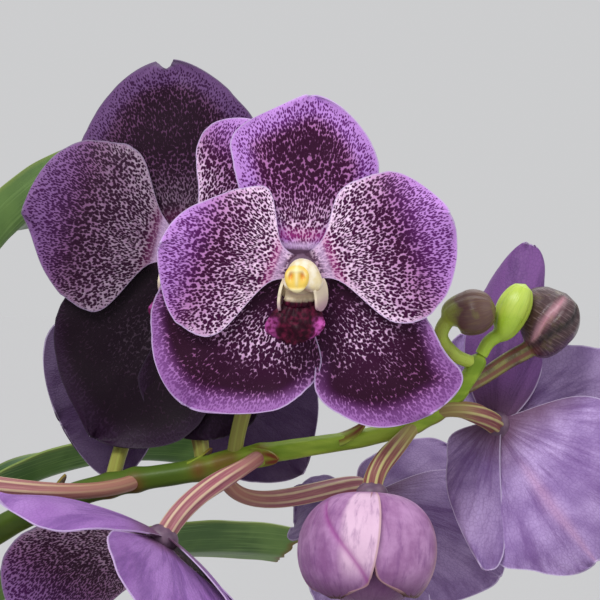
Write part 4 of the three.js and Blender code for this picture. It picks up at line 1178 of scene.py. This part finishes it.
# Lip: a keeled tongue that drops from the column's foot, with a pale ear on each side of the column
def make_lip(bloom, seed):
    shape = Shape()
    u, v = grid(60, 48)
    bumps = 0.5 * wander(v * 7, seed + 9)
    width = mix(4.4, 7.2, smooth(u, 0.2, 0.5)) + 1.5 * bell(u, 0.74, 0.17)
    width = width * np.sqrt(np.clip(1 - 0.8 * smooth(u, 0.84, 1.03) ** 2, 0.05, 1))
    x = v * width - 2.2 * u
    y = mix(-4.6, -19.4, u) + 1.6 * v * v * u + bumps * smooth(u, 0.6, 1.0) * 0.7
    keels = sum(bell(v, k, 0.1) for k in (-0.42, 0, 0.42))
    keels = keels * smooth(u, 0.1, 0.25) * (1 - smooth(u, 0.62, 0.85))
    fringe = bell(u, 0.2, 0.05) * (0.75 + 0.45 * np.cos(v * 17) + 0.4 * bumps) * (1 - v ** 4)
    z = 5.9 + 4.5 * np.sin(2.3 * u) - 2.2 * v * v * smooth(u, 0.1, 0.6) + 0.45 * keels + 1.5 * fringe
    rough = 0.45 * wander(v * 6 + 3 * u, seed) + 0.4 * wander(u * 11 - v * 3, seed + 4)
    z = z + rough * smooth(u, 0.3, 0.7)
    shape.add_sheet(
        sunk(x, y, z, bloom)[:, ::-1], mix(1.8, 0.9, u), paints=(0, 0, 0),
        # magenta is cut to 0.6 on one side lobe, making it darker: painted shade on that lobe
        magenta=smooth(np.abs(v), 0.5, 0.8) * smooth(u, 0.46, 0.64) * np.where(v < 0, 0.95, 0.6),
        cream=smooth(u, 0.2, 0.17),
        tint=0.45 * smooth(u, 0.13, 0.06) * (1 - v * v),
    )
    for side, tilt in ((-1, 0.2), (1, -1.5)):
        u, v = grid(24, 20)
        tall = np.sqrt(np.clip(1 - (2 * u - 0.9) ** 4 * 0.75, 0.04, 1))
        x = side * (5.3 + 0.7 * u + tilt * v * tall + 0.5 * np.sin(math.pi * u))
        z = 7.2 + 4.3 * v * tall * (1 - 0.3 * u) + 0.8 * u + 0.3 * wander(u * 6, seed + side)
        ear = sunk(x, -1.4 - 8.6 * u, z, bloom)[:, ::-side]
        tint = smooth(u, 0.35, 0.95) * 0.85
        shape.add_sheet(ear, 0.8, paints=(0, 0, 0), cream=np.ones(u.shape), tint=tint)
    foot = np.moveaxis(dome(16, 28, (6.4, 2.7, 2.9), (0, -5.2, 4.6)), -1, 0)
    shape.add_rings(sunk(*foot, bloom), inside_out=True, cream=np.full(foot.shape[1:], 0.9))
    shape.build(bloom["name"] + "_lip", [LIP_PAINT], 70)


# Pedicel: ribbed and twisted, from the spike to the back of the bloom
def make_pedicel(bloom):
    back = -bloom_frame(bloom)[2]
    end = row(*bloom["centre"]) + back
    start = SPIKE[spike_at(bloom["root"])]
    leave = unit(row(*bloom["leave"]))
    span = np.linalg.norm(end - start)
    share = np.linspace(0, 1, 90)
    path = bezier(start, start + leave * span * 0.4, end + back * span * 0.35, end, share)
    angle = bearings(42)
    rib = np.cos(7 * angle + 4.5 * share[:, None]) + 0 * angle
    grown = smooth(share, 0.12, 0.5)[:, None]
    radius = mix(2.4, 2.9, smooth(share, 0.1, 0.55))[:, None]
    radius = radius + 0.32 * grown * (np.abs((rib + 1) / 2) ** 0.6 * 2 - 1)
    shape = Shape()
    shape.add_rings(
        rings_along(path, radius, 42),
        rib=rib,
        rose=np.full(rib.shape, bloom.get("rose", 0.15)),
        along=share[:, None] * span + 0 * angle,
        fresh=(1 - grown) * np.ones(rib.shape) * 0.8,
    )
    shape.build(bloom["name"] + "_pedicel", [PEDICEL_PAINT], 60)


# Half-open bloom: cupped tepals that still close to a globe; bearing 90 is the side that faces the front
GLOBE = {"radius": 20, "length": 17, "shoulder": 0.68, "heart": 0.9}
HALF_OPEN = {
    "name": "half_open_bloom", "centre": (157, -78, 250.5), "face": (-18, -80), "roll": 0,
    "root": 170.5, "leave": (-0.5, -0.6, -0.7), "rose": 0.35,
}
WRAPS = [{"bearing": 120, "spread": 56}, {"bearing": 12, "spread": 64}, {"bearing": 246, "spread": 66}]


def make_half_open():
    shape = Shape()
    polar, angle = np.linspace(math.pi * 0.01, math.pi * 0.985, 40)[:, None], bearings(60)
    pleat = 1 + 0.03 * np.cos(5 * angle + 1.2 * polar)
    reach = GLOBE["heart"] * GLOBE["radius"] * np.sin(polar) ** GLOBE["shoulder"] * pleat
    height = GLOBE["length"] * (1 - 0.94 * np.cos(polar))
    heart = rings_at(reach, angle, height)
    plain = np.ones(heart.shape[:2])
    # The heart is darkened by deep 0.7: painted shade inside the globe
    shape.add_rings(
        placed(heart, HALF_OPEN), inside_out=True, along=height + 0 * angle, around=angle + 0 * polar,
        margin=9 * plain, deep=0.7 * plain,
    )
    for i, wrap in enumerate(WRAPS):
        u, v = grid(52, 48)
        seed = 70 + i
        spread_out = wrap["spread"] * (1 - 0.25 * u ** 3)
        spread_out = spread_out * np.sqrt(np.clip(1 - 0.9 * smooth(u, 0.78, 1.0) ** 2, 0.1, 1))
        turn = np.radians(wrap["bearing"] + v * spread_out)
        polar = math.pi * mix(0.04, 0.84 - 0.05 * i, u)
        corners = 1 + 0.035 * np.cos(4 * turn - 0.5) * smooth(u, 0.1, 0.4)
        radius = GLOBE["radius"] * (1 - 0.045 * i) * np.sin(polar) ** GLOBE["shoulder"] * corners + 0.75
        radius = radius + 0.3 * wander(v * 3 + u * 2, seed) * smooth(u, 0.3, 0.9)
        crease = bell(v + 0.02 + 2 * (u - 0.35), 0, 0.07) * smooth(u, 0.12, 0.3) * (i == 0)
        radius = radius - 0.5 * crease + 0.6 * smooth(np.abs(v), 0.86, 1)
        flat = np.stack([u * 44, np.radians(v * spread_out) * radius], -1)
        band = smooth(v, -0.34, -0.5 - 0.3 * (u - 0.5)) * smooth(u, 0.02, 0.12)
        middle = rings_at(radius, turn, GLOBE["length"] * (1 - np.cos(polar)))
        shape.add_sheet(
            placed(middle, HALF_OPEN), 1.1, paints=(0, 0, 0),
            along=u * 44,
            around=np.radians(v * spread_out),
            margin=margin_of(flat),
            band=band * (1 - smooth(u, 0.66, 0.86)) * (i == 0),
            fold=crease,
            tan=smooth(v, 0.05, -0.55) * smooth(u, 0.15, 0.5) * (i == 1),
            # deep darkens the tepals towards their ends, round the globe's mouth: painted shade
            deep=0.75 * smooth(u, 0.72, 0.97),
            torn=smooth(u + 0.02 * wander(v * 14, seed), 0.96, 0.985) * 0.9,
            seed=np.full(u.shape, float(seed)),
        )
    hub = dome(16, 24, (HUB["radius"], HUB["radius"], HUB["depth"]))
    shape.add_rings(placed(hub, HALF_OPEN), paint=1, inside_out=True)
    shape.build("half_open_bloom_tepals", [half_open_paint(), HUB_PAINT])


# Buds: each is one skin from the spike along its stalk and over the bud. A seam is a bearing in radians and
# how far it drifts.
PLAIN_BUD = {
    "seams": ((0.65, 0), (2.74, 0), (4.84, 0)), "furrow": 0.4, "lobes": 0.03, "turns": (0.9, 0.3),
    "stalk": 1, "seam": 0, "groove": 0, "ribs": 0,
}
BUDS = [
    {
        **PLAIN_BUD, "name": "bud_1", "slot": "bud_brown",
        "path": [(190, -68, 290), (183, -70, 293), (178.5, -71, 299), (181.5, -72, 304.5)],
        "centre": (187.5, -73, 306), "radius": 7.2, "half": 8, "axis": (0.93, -0.12, 0.2),
        "lobes": 0.02, "turns": (1.05, 0.6),
        "paint": bud_paint("bud_olive", (184, 208, 72), (98, 68, 60), (128, 104, 66)),
    },
    {
        **PLAIN_BUD, "name": "bud_2", "slot": "bud_green",
        "path": [(191.2, -68, 293), (193.6, -68, 297), (197.4, -68, 302)],
        "centre": (200.8, -68, 306.5), "radius": 5.4, "half": 9.4, "axis": (0.44, 0, 0.9),
        "paint": bud_paint("bud_green", (166, 200, 52), (190, 212, 84), (150, 188, 56)),
    },
    {
        **PLAIN_BUD, "name": "bud_3", "slot": "bud_brown",
        "path": [(186, -68, 283), (192, -64, 286), (200, -62, 291), (208, -62, 298)],
        "centre": (212.8, -62, 303), "radius": 10.6, "half": 10.6, "axis": (0.53, 0, 0.85),
        "lobes": 0.15, "turns": (1.1, 0.92), "seams": ((1.2, 0.35), (1.75, 1.0), (4.4, 0)), "furrow": 1.7,
        "stalk": 1.25, "seam": 0.8, "groove": 0.9, "ribs": 1,
        "paint": bud_paint("bud_brown", (172, 172, 78), (62, 34, 40), (156, 130, 132), (2.0, 7.0)),
    },
]


def make_bud(bud):
    axis = unit(row(*bud["axis"]))
    centre, half = row(*bud["centre"]), bud["half"]
    stalk = [row(*p) for p in bud["path"]]
    inside = [centre - axis * half * 0.75, centre, centre + axis * half]
    path = spline(stalk[:-1] + inside, np.linspace(0, 1, 200))
    left = np.append(np.linalg.norm(np.diff(path, axis=0), axis=1)[::-1].cumsum()[::-1], 0)
    share = np.sin(np.linspace(0, math.pi / 2, 80))
    path, left = resample(path, share), np.interp(share, np.linspace(0, 1, 200), left)[:, None]
    angle = bearings(48)
    t = np.clip(left / (2 * half), 0, 1)
    body = bud["radius"] * np.sqrt(np.clip(1 - (2 * t - 1) ** 2, 0, 1)) ** 0.92
    body = body * (1 + bud["lobes"] * np.cos(3 * angle + 0.9)) * (1 - 0.1 * smooth(t, 0.3, 0.95))
    seams = [bell(np.sin((angle - at - drift * (0.5 - t)) / 2), 0, 0.06) for at, drift in bud["seams"]]
    seams = np.array(seams) * smooth(t, 0.02, 0.15) * (1 - smooth(t, 0.8, 0.97))
    body = body - seams.sum(0) * bud["furrow"]
    rib = smooth(np.cos(6 * angle + 2 * t), -0.3, 0.5) * smooth(left, 1.7 * half, 2.1 * half) * bud["ribs"]
    stem = bud["stalk"] * mix(1.9, 2.5, share)[:, None] * smooth(left, 0.2 * half, 1.2 * half)
    stem = stem * (1 - 0.09 * rib)
    radius = (body + stem + np.sqrt((body - stem) ** 2 + 0.8)) / 2
    radius = radius * np.sqrt(np.clip(left / 1.2, 0.0005, 1))
    shape = Shape()
    shape.add_rings(
        rings_along(path, radius, 48),
        along=left * 0.4 + 0 * angle,
        around=angle + 0 * t,
        high=smooth(t, *bud["turns"]) + 0 * angle,
        seam=seams[0] * bud["seam"],
        # groove follows the second seam's furrow: painted shade in it
        groove=seams[1] * bud["groove"],
        rib=0.8 * rib,
    )
    shape.build(bud["name"], [bud["paint"]], 70)


# Floor, light and camera. The camera's place is in metres. At distance from it the picture spans twice
# half_width, both in millimetres.
VIEW = {"place": (0.135, -0.740, 0.310), "sensor": 36, "half_width": 90, "distance": 650}


def make_floor():
    mesh = bpy.data.meshes.new("floor")
    metres = (0.5, 3, 14, 40)
    rings = [rings_at(radius, bearings(64)[0], 0) for radius in metres]
    points = np.concatenate([[[0, 0, 0]], *rings])
    fan = [(0, 1 + j, 1 + (j + 1) % 64) for j in range(64)]
    mesh.from_pydata(points.tolist(), [], fan + (lattice(3, 64, wrap=True) + 1).tolist())
    floor = bpy.data.objects.new("floor", mesh)
    bpy.context.scene.collection.objects.link(floor)
    mesh.materials.append(Paint("floor_pale", 0.0).finish((0.49, 0.49, 0.495, 1), 1.0))


def make_light(name, bearing, height, strength, spread_out):
    """A wide soft light from far off; bearing 0 is in front of the plant and 90 to its right"""
    light = bpy.data.lights.new(name, "SUN")
    light.energy, light.angle = strength, math.radians(spread_out)
    lamp = bpy.data.objects.new(name, light)
    lamp.rotation_euler = (math.radians(90 - height), 0, math.radians(bearing))
    bpy.context.scene.collection.objects.link(lamp)


def make_scene():
    world = bpy.data.worlds.new("studio")
    world.use_nodes = True
    sky = world.node_tree.nodes["Background"]
    sky.inputs["Color"].default_value = (0.98, 0.985, 1.0, 1)
    sky.inputs["Strength"].default_value = 0.62
    scene = bpy.context.scene
    scene.world = world
    scene.view_settings.view_transform = "Standard"
    make_floor()
    make_light("key", -28, 44, 1.75, 28)
    make_light("side", 62, 24, 0.45, 50)
    make_light("back", 170, 55, 0.7, 50)
    camera = bpy.data.objects.new("camera", bpy.data.cameras.new("camera"))
    camera.location = VIEW["place"]
    camera.rotation_euler = (math.radians(90), 0, 0)
    camera.data.sensor_width = VIEW["sensor"]
    camera.data.lens = VIEW["sensor"] / 2 / (VIEW["half_width"] / VIEW["distance"])
    camera.data.clip_start = 0.01
    scene.collection.objects.link(camera)
    scene.camera = camera


make_scene()
make_pot()
make_bark()
make_roots()
make_stem()
for number, leaf in enumerate(LEAVES):
    make_leaf(leaf, number + 1)
make_spike([b["root"] for b in BLOOMS] + [HALF_OPEN["root"], 24, 55])
for number, bloom in enumerate(BLOOMS):
    make_tepals(bloom, 100 + 20 * number)
    make_column(bloom)
    make_lip(bloom, 300 + number)
    make_pedicel(bloom)
make_half_open()
make_pedicel(HALF_OPEN)
for bud in BUDS:
    make_bud(bud)
